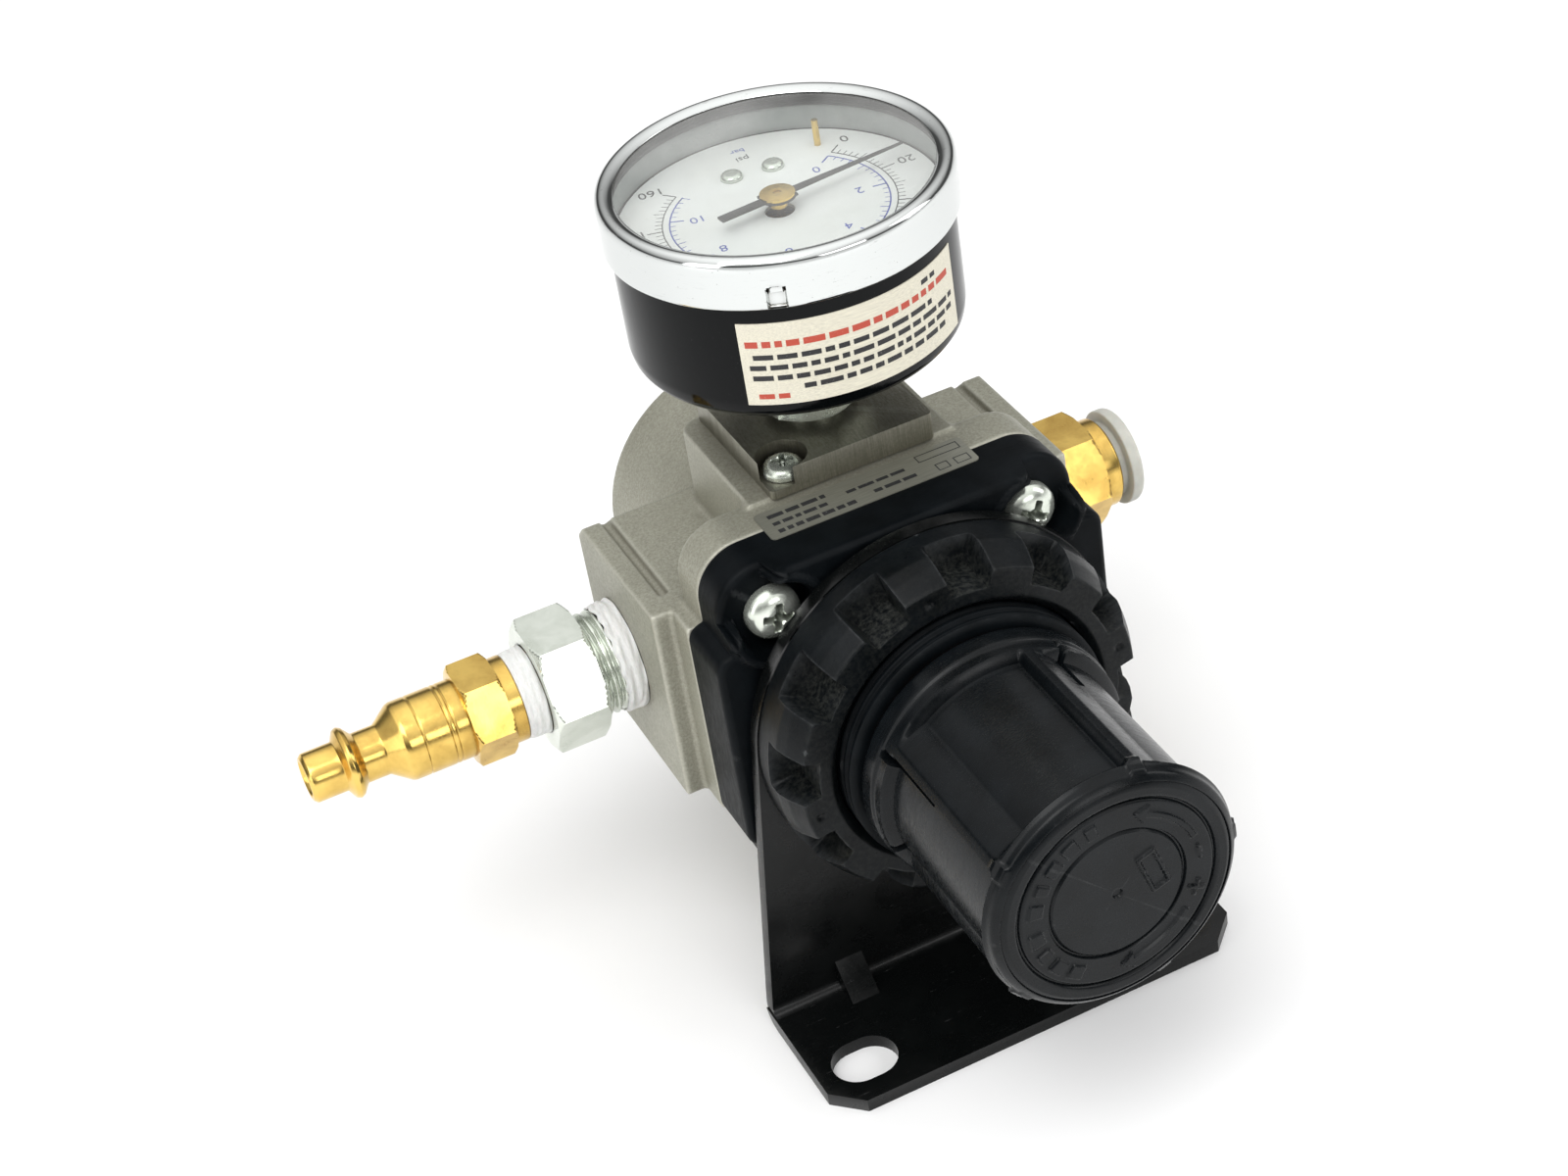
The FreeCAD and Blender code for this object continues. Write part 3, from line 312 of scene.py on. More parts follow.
def cast_aluminium(name, machined=False):
    """Champagne-coated die casting: sparkle in the grain, faint stains, bright rubbed edges, painted shade in
    recesses.
    """
    look = Look(name)
    stain = look.noise(0.09, 5.0, 0.6)
    grain = look.noise(2.3, 4.0, 0.7)
    pits = look.cells(1.7, 0.03, 0.1)
    base = look.mottle(stain, 0.3, 0.75, (0.345, 0.34, 0.272), (0.43, 0.424, 0.35))
    base = look.blend(look.spread(grain, 0.36, 0.66, 0.0, 0.75), base, rgb(0.24, 0.235, 0.185))
    base = look.layer(base, pits, 0.6, (0.14, 0.13, 0.1))
    # Painted shade: darker brown-grey in recesses.
    base = look.layer(base, look.hollow(4.0, 0.35, 0.9), 0.4, (0.2, 0.18, 0.15))
    base = look.layer(base, look.edges(0.51, 0.58), 0.55, (0.72, 0.71, 0.62))
    if machined:
        lines = look.noise(1.6, 4.0, 0.7, stretch=(3.0, 0.4, 0.1))
        base = look.blend(look.spread(lines, 0.35, 0.7, 0.35, 0.75), base, rgb(0.13, 0.12, 0.09))
    low = 0.3 if machined else 0.4
    look.paint(Base_Color=base, Metallic=0.85 if machined else 0.4,
               Roughness=look.spread(grain, 0.3, 0.75, low, low + 0.17))
    look.bump((grain, 0.8, 0.09), (stain, 0.2, 0.2))
    return look.material


def plated(name, light, dark, rough, rough_span, blotch=0.25, wear=0.4, streaks=(1.0, 1.0, 1.0), relief=0.2,
           metal=1.0):
    """Metal with blotched colour, turning marks along streaks and painted shade in its recesses."""
    look = Look(name)
    marks = look.noise(2.2, 5.0, 0.65, stretch=streaks)
    cloud = look.noise(blotch, 5.0, 0.6, 0.3)
    base = look.mottle(cloud, 0.38, 0.7, light, dark)
    # Painted shade: a much darker copy of the metal's dark tone in recesses.
    base = look.layer(base, look.hollow(1.6), 0.75, shade(dark, 0.22))
    base = look.layer(base, look.edges(0.52, 0.6), wear, shade(light, 1.25))
    roughness = look.math("ADD", look.spread(marks, 0.3, 0.75, rough, rough + rough_span),
                          look.spread(cloud, 0.45, 0.75, 0.0, 0.12))
    look.paint(Base_Color=base, Metallic=metal, Roughness=roughness)
    look.bump((marks, relief, 0.03), (look.noise(6.0, 2.0), relief * 0.6, 0.015))
    return look.material


def chrome_plate(name):
    """Bright chrome with scuffs, tiny pits, fingerprints and painted shade in recesses."""
    look = Look(name)
    scuff = look.noise(1.1, 6.0, 0.75, 0.6, stretch=(0.3, 0.3, 3.2))
    scuff = look.spread(scuff, 0.6, 0.74)
    smudge = look.noise(0.14, 3.0)
    pits = look.cells(0.8, 0.03, 0.07)
    base = look.blend(look.times(scuff, 0.45), rgb(0.69, 0.71, 0.7), rgb(0.34, 0.34, 0.33))
    base = look.layer(base, pits, 0.7, (0.1, 0.09, 0.08))
    # Painted shade: near-black brown in recesses.
    base = look.layer(base, look.hollow(1.4, 0.35, 0.75), 0.85, (0.07, 0.05, 0.03))
    roughness = look.math("ADD", look.spread(smudge, 0.4, 0.7, 0.04, 0.13), look.times(scuff, 0.2))
    look.paint(Base_Color=base, Metallic=1.0, Roughness=roughness)
    look.bump((scuff, 0.25, 0.02), (look.noise(0.3, 2.0), 0.12, 0.06))
    return look.material


def plain_plastic(name, colour, rough, soft=0.0, grain=1.5):
    """Moulded plastic or rubber in one colour family, with painted shade in its recesses."""
    look = Look(name)
    cloud = look.noise(0.3, 5.0, 0.6)
    base = look.mottle(cloud, 0.35, 0.7, colour, shade(colour, 0.82))
    # Painted shade: a darker copy of the colour in recesses.
    base = look.layer(base, look.hollow(1.5), 0.5, shade(colour, 0.4))
    look.paint(Base_Color=base, Roughness=look.spread(cloud, 0.3, 0.7, rough - 0.06, rough + 0.1),
               Subsurface_Weight=soft, Subsurface_Scale=0.001)
    look.bump((look.noise(4.0, 3.0), 0.25, 0.02), (look.noise(grain, 3.0), 0.25, 0.05))
    return look.material


def thread_tape(name):
    """Layered white tape: fine wrapping lines, painted shade in recesses at the edges."""
    look = Look(name)
    folds = look.noise(1.4, 6.0, 0.7, 0.8, (2.4, 0.5, 0.5))
    base = look.mottle(folds, 0.35, 0.7, (0.68, 0.68, 0.66), (0.86, 0.86, 0.85))
    # Painted shade: grey in recesses.
    base = look.layer(base, look.hollow(1.0), 0.35, (0.4, 0.4, 0.38))
    look.paint(Base_Color=base, Roughness=look.spread(folds, 0.3, 0.7, 0.5, 0.68),
               Subsurface_Weight=0.04, Subsurface_Scale=0.0008)
    look.bump((folds, 0.55, 0.18))
    return look.material


def clear_window(name, shiny=True):
    """Thin clear pane: sees through, shines by angle, carries dust and a few scratches."""
    look = Look(name)
    dust = look.spread(look.noise(3.0, 4.0, 0.7), 0.6, 0.8, 0.0, 0.16)
    haze = look.spread(look.noise(0.05, 3.0), 0.35, 0.7, 0.1, 0.3)
    surface = look.add("ShaderNodeBsdfTransparent", Color=rgb(0.97, 0.98, 0.975)).outputs[0]
    if shiny:
        shine = look.add("ShaderNodeBsdfGlossy", Roughness=0.04)
        film = look.add("ShaderNodeBsdfDiffuse", Color=rgb(0.75, 0.75, 0.73))
        facing = look.add("ShaderNodeLayerWeight", Blend=0.5).outputs["Facing"]
        mirror = look.spread(look.math("POWER", facing, 4.0), 0.0, 1.0, 0.045, 1.0)
        clean = look.add("ShaderNodeMixShader", i0=mirror, i1=surface, i2=shine.outputs[0])
        surface = look.add("ShaderNodeMixShader", i0=look.math("ADD", dust, haze), i1=clean.outputs[0],
                           i2=film.outputs[0]).outputs[0]
    look.tree.nodes.remove(look.shader)
    look.tree.links.new(surface, look.tree.nodes["Material Output"].inputs["Surface"])
    return look.material


def printed(name, colour, ground, rough=0.55):
    """Ink on a smooth ground: uneven coverage, slightly raised."""
    look = Look(name)
    cover = look.noise(3.5, 3.0, 0.65)
    base = look.blend(look.spread(cover, 0.62, 0.8, 0.0, 0.5), rgb(*colour), rgb(*ground))
    look.paint(Base_Color=base, Roughness=look.spread(cover, 0.3, 0.7, rough - 0.05, rough + 0.1))
    look.bump((cover, 0.2, 0.01))
    return look.material


def dial_white(name):
    """Matt white enamel, yellowed and speckled a little."""
    look = Look(name)
    age = look.noise(0.08, 4.0)
    speck = look.spread(look.noise(2.5, 2.0), 0.7, 0.76)
    base = look.mottle(age, 0.35, 0.7, (0.9, 0.91, 0.9), (0.85, 0.855, 0.83))
    base = look.layer(base, speck, 0.3, (0.45, 0.44, 0.4))
    look.paint(Base_Color=base, Roughness=look.spread(age, 0.3, 0.7, 0.4, 0.52))
    look.bump((look.noise(3.0, 2.0), 0.12, 0.02))
    return look.material


def label_film(name, colour, metallic, rough):
    """Stuck-on film: faint brushed lines, scuffs and lifted dirt."""
    look = Look(name)
    lines = look.noise(2.0, 4.0, stretch=(0.15, 3.0, 3.0))
    scuff = look.spread(look.noise(0.8, 6.0, 0.75), 0.6, 0.75)
    base = look.mottle(lines, 0.35, 0.7, colour, shade(colour, 0.8))
    base = look.layer(base, scuff, 0.4, shade(colour, 0.6))
    look.paint(Base_Color=base, Metallic=metallic,
               Roughness=look.math("ADD", look.spread(lines, 0.3, 0.7, rough, rough + 0.1),
                                   look.times(scuff, 0.15)))
    look.bump((lines, 0.15, 0.015))
    return look.material


FINISH = {
    "black_painted_steel": black_paint("coat_black"),
    "black_nylon": nylon_black("nylon_black"),
    "nylon_knob": nylon_black("nylon_knob", 0.26, 0.015, shine=0.18, edge_wear_and_sheen=0.03),
    "nylon_dusty": nylon_black("nylon_dusty", 0.33, 0.04, True, 0.13, 0.1),
    "cast_aluminium": cast_aluminium("cast_champagne"),
    "machined_aluminium": cast_aluminium("plate_champagne", True),
    "zinc_plated_steel": plated("zinc_plate", (0.84, 0.88, 0.8), (0.6, 0.65, 0.56), 0.16, 0.1, 0.12, 0.12,
                                relief=0.05, metal=0.78),
    "brass": plated("turned_brass", (0.86, 0.59, 0.16), (0.55, 0.34, 0.08), 0.12, 0.12, 0.14, 0.25,
                    (3.0, 0.5, 0.5), 0.1, 0.94),
    "ptfe_tape": thread_tape("tape_white"),
    "grey_plastic": plain_plastic("plastic_pale", (0.6, 0.6, 0.54), 0.42, 0.1),
    "black_rubber": plain_plastic("rubber_black", (0.018, 0.018, 0.018), 0.62),
    "spring_steel": plated("steel_drawn", (0.5, 0.5, 0.49), (0.34, 0.34, 0.33), 0.24, 0.16, 0.5),
    "orange_plastic": plain_plastic("plastic_orange", (0.82, 0.26, 0.03), 0.4, 0.1),
    "chrome": chrome_plate("chrome_plate"),
    "gloss_black_steel": gloss_paint("enamel_black"),
    "clear_window": clear_window("window_clear"),
    "window_back": clear_window("window_underside", False),
    "white_dial": dial_white("dial_enamel"),
    "pointer_black": printed("pointer_paint", (0.012, 0.012, 0.012), (0.05, 0.05, 0.05), 0.42),
    "paper_label": label_film("label_cream", (0.8, 0.76, 0.62), 0.0, 0.38),
    "silver_label": label_film("label_silver", (0.3, 0.3, 0.25), 0.5, 0.3),
    "inner_wall": plain_plastic("case_inside", (0.34, 0.36, 0.35), 0.35),
    "ink_black": printed("ink_black", (0.02, 0.02, 0.022), (0.5, 0.5, 0.48)),
    "ink_blue": printed("ink_blue", (0.06, 0.09, 0.42), (0.6, 0.6, 0.6)),
    "ink_red": printed("ink_red", (0.5, 0.07, 0.04), (0.7, 0.6, 0.5)),
}


def finish_cad_nodes():
    """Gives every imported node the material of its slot."""
    for name, item in NODES.items():
        item.data.materials.clear()
        item.data.materials.append(FINISH[SLOTS[name]])


# ---------------- local frames
def stacked(x, y, z):
    """Row-frame points from three grids."""
    return np.stack(np.broadcast_arrays(x, y, z), axis=-1)


def on_main(x, y, h):
    return stacked(x, PANEL_Y - h, AXIS_Z + y)


def on_inlet(x, y, h):
    return stacked(-h, PANEL_Y + PORT_BACK + y, AXIS_Z + x)


def on_outlet(x, y, h):
    return stacked(h, PANEL_Y + PORT_BACK + y, AXIS_Z - x)


def on_gauge(x, y, h):
    return stacked(x, PANEL_Y + GAUGE_BACK + y, h)


# ---------------- mesh tools
def weld(mesh, gap, outward=True):
    """Merges points closer than a gap in metres, and turns the faces outward unless told not to."""
    work = bmesh.new()
    work.from_mesh(mesh)
    bmesh.ops.remove_doubles(work, verts=work.verts, dist=gap)
    if outward:
        bmesh.ops.recalc_face_normals(work, faces=work.faces)
    work.to_mesh(mesh)
    work.free()


def make_piece(name, points, faces, node=None, finish=None, crease=34.0, dust=None):
    """Merges doubled points, turns the faces outward and finishes the piece."""
    mesh = bpy.data.meshes.new(name)
    mesh.from_pydata((np.asarray(points, float) * MM).tolist(), [], [list(face) for face in faces])
    if dust is not None:
        store = mesh.attributes.new("dust", "FLOAT", "POINT")
        store.data.foreach_set("value", np.asarray(dust, np.float32).ravel())
    weld(mesh, 2e-6)
    return put(name, mesh, node, finish, crease)


def put(name, mesh, node, finish=None, crease=34.0):
    """Makes a mesh a piece that stands for a node, with the node's body and, if none is given, its finish."""
    finish = finish or SLOTS[node]
    mesh.polygons.foreach_set("use_smooth", [True] * len(mesh.polygons))
    mesh.set_sharp_from_angle(angle=math.radians(crease))
    mesh.materials.clear()
    mesh.materials.append(FINISH[finish])
    piece = link_new(name, mesh)
    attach(piece, BODY_OF.get(node, "root"))
    if node:
        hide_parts(node)
    return piece


def soften(profile, radius=0.25, steps=3):
    """Rounds every corner of a closed profile except those on the axis."""
    points = [Vector(point) for point in profile]
    result = []
    for index, point in enumerate(points):
        if point.x < 1e-6:
            result.append(point)
            continue
        before = points[index - 1] - point
        after = points[(index + 1) % len(points)] - point
        start = point + before * min(radius / before.length, 0.45)
        end = point + after * min(radius / after.length, 0.45)
        for step in range(steps + 1):
            t = step / steps
            result.append(start * (1 - t) ** 2 + point * (2 * t * (1 - t)) + end * t ** 2)
    return [tuple(point) for point in result]


def divide(profile, step):
    """Splits long runs of a profile, so that a field can shape them."""
    result = []
    for index, start in enumerate(profile[:-1]):
        end = profile[index + 1]
        count = max(1, math.ceil(math.dist(start, end) / step))
        for part in range(count):
            t = part / count
            result.append((start[0] + (end[0] - start[0]) * t, start[1] + (end[1] - start[1]) * t))
    return result + [profile[-1]]


def grid_faces(rows, columns, closed):
    """Quads of a grid whose columns wrap round, and whose rows do too if closed."""
    row = np.arange(rows if closed else rows - 1)[:, None]
    column = np.arange(columns)[None, :]
    after = (row + 1) % rows
    beside = (column + 1) % columns
    quads = [row * columns + column, row * columns + beside,
             after * columns + beside, after * columns + column]
    return np.stack(np.broadcast_arrays(*quads), axis=-1).reshape(-1, 4)


def revolve(profile, segments):
    """Grids of angle, radius and height of a profile turned about its axis."""
    outline = np.array(profile, float)
    angle = np.repeat(np.arange(segments)[None, :] * TAU / segments, len(outline), axis=0)
    radius = np.repeat(outline[:, :1], segments, axis=1)
    height = np.repeat(outline[:, 1:2], segments, axis=1)
    return angle, radius, height


def lathe(name, profile, place, node, segments=144, field=None, crease=34.0, finish=None, dust=None):
    """Solid of revolution whose field may change radius and height by angle."""
    angle, radius, height = revolve(profile, segments)
    marks = dust(angle, radius, height) if dust else None
    closed = max(profile[0][0], profile[-1][0]) > 1e-6
    if field:
        radius, height = field(angle, radius, height)
    points = place(radius * np.cos(angle), radius * np.sin(angle), height).reshape(-1, 3)
    faces = grid_faces(len(profile), segments, closed)
    return make_piece(name, points, faces, node, finish, crease, marks)


def ease(value, low, high):
    """Smooth step from 0 at low to 1 at high."""
    t = np.clip((value - low) / (high - low), 0.0, 1.0)
    return t * t * (3 - 2 * t)


def away_from(angle, centre, period=360.0):
    """Signed degrees from centre, which repeats every period."""
    return (np.degrees(angle) - centre + period / 2) % period - period / 2


def ripple(angle, height, seed, waves=9):
    """Smooth pseudo-random ripple from about -1 to 1 over angle and height."""
    rng = random.Random(seed)
    total = 0.0
    for _ in range(waves):
        around = rng.randint(1, 14)
        along = rng.uniform(0.2, 4.0)
        total = total + np.sin(around * angle + along * height + rng.uniform(0, TAU))
    return total / math.sqrt(waves) / 1.6


def thread(angle, height, pitch):
    """0 at crests and 1 at roots of a helical thread."""
    turn = (height / pitch - angle / TAU) % 1.0
    return ease(np.abs(2 * turn - 1), 0.15, 0.95)


def hex_limit(flats, angle):
    """Radius of a hexagon with these flats, corners at 30 degrees and every 60 after."""
    return flats / 2 / np.cos(np.radians(away_from(angle, 0.0, 60.0)))


def hex_zone(flats, low, high):
    """Field that trims everything between two heights to a hexagon."""
    def field(angle, radius, height):
        inside = (height > low - 0.01) & (height < high + 0.01)
        return np.where(inside, np.minimum(radius, hex_limit(flats, angle)), radius), height
    return field


def hex_run(flats, low, high, chamfer):
    """Outer profile of a hexagon whose corners are turned off at both ends."""
    corner = flats / math.sqrt(3)
    drop = chamfer * 0.6
    return divide([(corner - chamfer, low), (corner, low + drop), (corner, high - drop),
                   (corner - chamfer, high)], 0.35)


def pipe_field(hexagon, depth, low, high):
    """Field of a pipe fitting: its hexagon, and a pipe thread between two heights."""
    trim = hex_zone(*hexagon)

    def field(angle, radius, height):
        radius, height = trim(angle, radius, height)
        threaded = (height > low) & (height < high) & (radius > 7.9)
        return radius - depth * thread(angle, height, PIPE_PITCH) * threaded, height
    return field


def tape_field(skin, depth, pitch, along, seed, frayed=math.inf):
    """Field of wrapped tape: windings outside a radius, and a ragged end above a height."""
    def field(angle, radius, height):
        wrap = depth * thread(angle, height, pitch) + 0.1 * ripple(angle, height * along, seed)
        ragged = 0.25 * ripple(angle * 2, height * 0, seed + 1) * (height > frayed)
        return np.where(radius > skin, radius - np.maximum(wrap, -0.1), radius), height + ragged
    return field


def box_radius(angle, half_x, half_y, corner):
    """Distance from the centre to a rounded rectangle along an angle."""
    low = np.zeros_like(angle)
    high = np.full_like(angle, half_x + half_y)
    for _ in range(40):
        middle = (low + high) / 2
        x = np.abs(middle * np.cos(angle)) - (half_x - corner)
        y = np.abs(middle * np.sin(angle)) - (half_y - corner)
        outside = np.hypot(np.maximum(x, 0), np.maximum(y, 0)) + np.minimum(np.maximum(x, y), 0) - corner
        high = np.where(outside > 0, middle, high)
        low = np.where(outside > 0, low, middle)
    return (low + high) / 2


def boxes(name, corners, finish):
    """Many thin closed boxes in one piece, each given by eight points."""
    points = []
    faces = []
    for eight in corners:
        first = len(points)
        points.extend(eight)
        for quad in ((0, 1, 2, 3), (4, 5, 6, 7), (0, 1, 5, 4), (1, 2, 6, 5), (2, 3, 7, 6), (3, 0, 4, 7)):
            faces.append([first + index for index in quad])
    return make_piece(name, points, faces, None, finish, 30.0)


def slab(x0, x1, y0, y1, z0, z1):
    """Eight points of a box, lower four first."""
    ring = [(x0, y0), (x1, y0), (x1, y1), (x0, y1)]
    return [(x, y, z0) for x, y in ring] + [(x, y, z1) for x, y in ring]


def evaluated_mesh(item):
    """The item's mesh with its modifiers applied."""
    graph = bpy.context.evaluated_depsgraph_get()
    return bpy.data.meshes.new_from_object(item.evaluated_get(graph))


def welded_mesh(node):
    """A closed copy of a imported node's mesh."""
    mesh = NODES[node].data.copy()
    weld(mesh, 1e-6, False)
    return mesh


def cast_copy(name, node, voxel, passes):
    """A cast-looking version of a node: rebuilt in small voxels and relaxed, so edges and corners round."""
    copy = link_new(node + "_copy", welded_mesh(node))
    remesh = copy.modifiers.new("remesh", "REMESH")
    remesh.mode = "VOXEL"
    remesh.voxel_size = voxel * MM
    relax = copy.modifiers.new("relax", "SMOOTH")
    relax.factor = 0.5
    relax.iterations = passes
    mesh = evaluated_mesh(copy)
    bpy.data.objects.remove(copy)
    return put(name, mesh, node, crease=180.0)


def bevelled_copy(name, node, width):
    """A node with its sharp edges rounded to a small width."""
    mesh = welded_mesh(node)
    work = bmesh.new()
    work.from_mesh(mesh)
    bmesh.ops.dissolve_limit(work, angle_limit=math.radians(0.6), verts=work.verts, edges=work.edges)
    sharp = [edge for edge in work.edges if edge.is_manifold and edge.calc_face_angle() > math.radians(28)]
    bmesh.ops.bevel(work, geom=sharp, offset=width * MM, segments=2, profile=0.7, affect="EDGES",
                    clamp_overlap=True)
    bmesh.ops.triangulate(work, faces=[face for face in work.faces if len(face.verts) > 4])
    bmesh.ops.recalc_face_normals(work, faces=work.faces)
    work.to_mesh(mesh)
    work.free()
    return put(name, mesh, node)


# ---------------- knob
def raised_marks(x, y):
    """1 on the raised marks of the knob's end: two arrows, a plus, a minus, a row of bars, a badge."""
    radius = np.hypot(x, y)
    turn = np.degrees(np.arctan2(y, x)) % 360.0
    total = np.zeros_like(x)
    for first, last, head in ((20.0, 66.0, 66.0), (276.0, 322.0, 276.0)):
        band = ease(np.abs(radius - MARK_RING), 0.55, 0.35)
        run = ease(turn, first - 1, first + 0.4) * ease(turn, last + 1, last - 0.4)
        total = np.maximum(total, band * run)
        sign = 1.0 if head == last else -1.0
        along = (turn - head) * sign
        width = np.clip(1.0 - along / 9.0, 0, 1) * 1.45
        tip = ease(np.abs(radius - MARK_RING) - width, 0.1, -0.1) * (along > -0.5) * (along < 9.0)
        total = np.maximum(total, tip)
    for centre, plus in ((338.0, True), (6.0, False)):
        a = math.radians(centre)
        u = x * math.cos(a) + y * math.sin(a) - MARK_RING
        v = -x * math.sin(a) + y * math.cos(a)
        bar = ease(np.abs(u), 0.36, 0.2) * ease(np.abs(v), 1.4, 1.24)
        if plus:
            bar = np.maximum(bar, ease(np.abs(v), 0.36, 0.2) * ease(np.abs(u), 1.4, 1.24))
        total = np.maximum(total, bar)
    for step in range(9):
        middle = 104.0 + 15.5 * step + (7.0 if step > 4 else 0.0)
        away = np.abs(away_from(np.radians(turn), middle))
        half = 5.2 if step % 3 else 3.6
        bar = ease(away, half + 0.5, half - 0.5) * ease(np.abs(radius - MARK_RING), 1.15, 0.98)
        total = np.maximum(total, bar)
    tilt = math.radians(18.0)
    u = (x - 5.6) * math.cos(tilt) + (y - 1.6) * math.sin(tilt)
    v = -(x - 5.6) * math.sin(tilt) + (y - 1.6) * math.cos(tilt)
    rim = ease(np.maximum(np.abs(u) / 1.5, np.abs(v) / 3.6), 1.06, 0.98)
    well = ease(np.maximum(np.abs(u) / 1.1, np.abs(v) / 3.2), 1.0, 0.9)
    return np.maximum(total, rim - well)


def knob_field(angle, radius, height):
    """Finger panels with ribs between them, slots from the skirt, and the marked end face."""
    outer = (radius > 17.0) & (height > 18.0)
    cut = np.zeros_like(radius)
    lift = np.zeros_like(radius)
    run = ease(height, 22.5, 23.3) * ease(height, 51.9, 50.9)
    for step in range(KNOB_PANELS):
        away = away_from(angle, 103.0 + 360.0 / KNOB_PANELS * step)
        floor = ease(away, -27.0, -25.6) * np.clip((40.5 - away) / 15.0, 0, 1)
        cut = np.maximum(cut, 1.8 * floor * run)
        if step:
            for side, end in ((-24.0, 33.5), (24.0, 29.5)):
                slot = ease(np.abs(away - side), 1.9, 1.1) * ease(height, 20.2, 20.7)
                cut = np.maximum(cut, 3.0 * slot * ease(height, end, end - 0.6))
        rib = ease(np.abs(away - 43.2), 4.2, 3.0)
        lift = np.maximum(lift, 0.45 * rib * ease(height, 50.6, 51.2) * ease(height, 53.6, 53.2))
    radius = np.where(outer, radius - cut + lift, radius)
    x = radius * np.cos(angle)
    y = radius * np.sin(angle)
    face = height > KNOB_FACE - 0.02
    groove = 0.5 * ease(np.abs(radius - 15.3), 0.34, 0.2) + 0.42 * ease(np.abs(radius - 10.45), 0.32, 0.18)
    dot = 0.35 * ease(radius, 0.85, 0.6)
    ring = 0.12 * ease(radius, 15.6, 15.9)
    shaped = height - groove - dot + ring + (KNOB_TOP - KNOB_FACE) * raised_marks(x, y) * (radius < 15.0)
    return radius, np.where(face, shaped, height)


def make_knob():
    """Knob with a hollow skirt and a marked end."""
    outside = soften([(16.2, 17.0), (19.8, 17.0), (20.1, 17.4), (20.1, 20.2), (19.75, 20.6), (19.75, 22.0),
                      (19.75, 51.6), (19.2, 52.4), (19.0, 53.4), (17.9, KNOB_FACE)], 0.35)
    side = divide(outside, 0.42)
    face = [(radius, KNOB_FACE) for radius in np.arange(17.2, 0.5, -0.2)]
    inside = [(0.0, KNOB_FACE), (0.0, 51.7), (14.6, 51.7), (14.6, 22.0), (16.2, 22.0)]
    lathe("knob_shell", side + face + inside, on_main, "knob", 480, knob_field, 40.0, "nylon_knob")


# ---------------- set nut, neck and bonnet
def nut_pocket(angle, height):
    """1 inside the nut's pockets."""
    return ease(np.abs(away_from(angle, 24.0, 360.0 / NUT_POCKETS)), 7.7, 6.9) * ease(height, 5.7, 6.3)


def nut_field(angle, radius, height):
    """Pockets with uneven floors, and four small gate marks on the front."""
    pocket = nut_pocket(angle, height)
    floor = NUT_FLOOR + 0.05 * ripple(angle * 6, height * 2, 3)
    deep = np.where(radius > floor, radius - (radius - floor) * pocket, radius)
    gate = ease(np.hypot(away_from(angle, 9.0, 90.0) * 0.45, radius - 25.4), 0.75, 0.5) * (height > 12.9)
    return deep, height - 0.35 * gate


def nut_dust(angle, radius, height):
    """How dusty each point is: most in the pockets."""
    pocket = nut_pocket(angle, height)
    front = ease(height, 12.2, 13.0) * 0.12
    return np.maximum(0.55 * pocket * (radius > NUT_FLOOR - 0.2), front) + 0.05


def make_set_nut():
    """Nut that holds the bracket on the neck."""
    profile = soften([(21.2, 2.3), (29.3, 2.3), (29.3, 7.9), (28.7, 10.0), (27.3, 13.0), (22.5, 13.0),
                      (21.2, 11.6)], 0.3)
    lathe("set_nut_ring", divide(profile, 0.4), on_main, "set_nut", 576, nut_field, 38.0, "nylon_dusty",
          nut_dust)


def neck_field(angle, radius, height):
    """Panel thread on the neck."""
    cut = 0.5 * thread(angle, height, 1.5) * ease(height, 11.2, 11.8) * ease(height, 15.3, 14.8)
    return np.where(radius > 20.3, radius - cut, radius), height


def make_neck():
    """Threaded neck of the bonnet and the sleeve inside the knob."""
    outside = divide([(24.5, -1.4), (24.5, -0.25), (24.25, 0.0), (21.0, 0.0), (21.0, 11.0)], 1.0)
    outside += divide([(21.0, 11.1), (21.0, 15.2)], 0.12)
    outside += [(20.9, 15.35), (20.5, 15.6), (20.0, 15.75), (19.5, 15.8), (18.5, 15.8), (18.15, 15.6),
                (18.0, 15.2), (18.0, 13.9), (12.9, 13.8), (12.8, 38.7), (12.5, 39.0), (5.6, 39.0),
                (5.6, 36.0), (11.8, 36.0), (11.8, 12.8), (17.5, 11.8), (17.5, -1.4)]
    lathe("bonnet_neck", outside, on_main, None, 240, neck_field, 36.0, "black_nylon")


def bonnet_top(x, y):
    """Height of the bonnet's front face, with a sunk pad at each screw."""
    across = np.abs(x) - SCREW_REACH
    up = np.abs(y) - SCREW_REACH
    pad = np.minimum(np.hypot(across, up) - 6.0, np.maximum(-across, -up))
    ridge = 0.7 * ease(np.abs(pad - 1.2), 0.8, 0.3)
    return BONNET_FACE - (BONNET_FACE - SCREW_SEAT) * ease(pad, 0.35, -0.35) + ridge


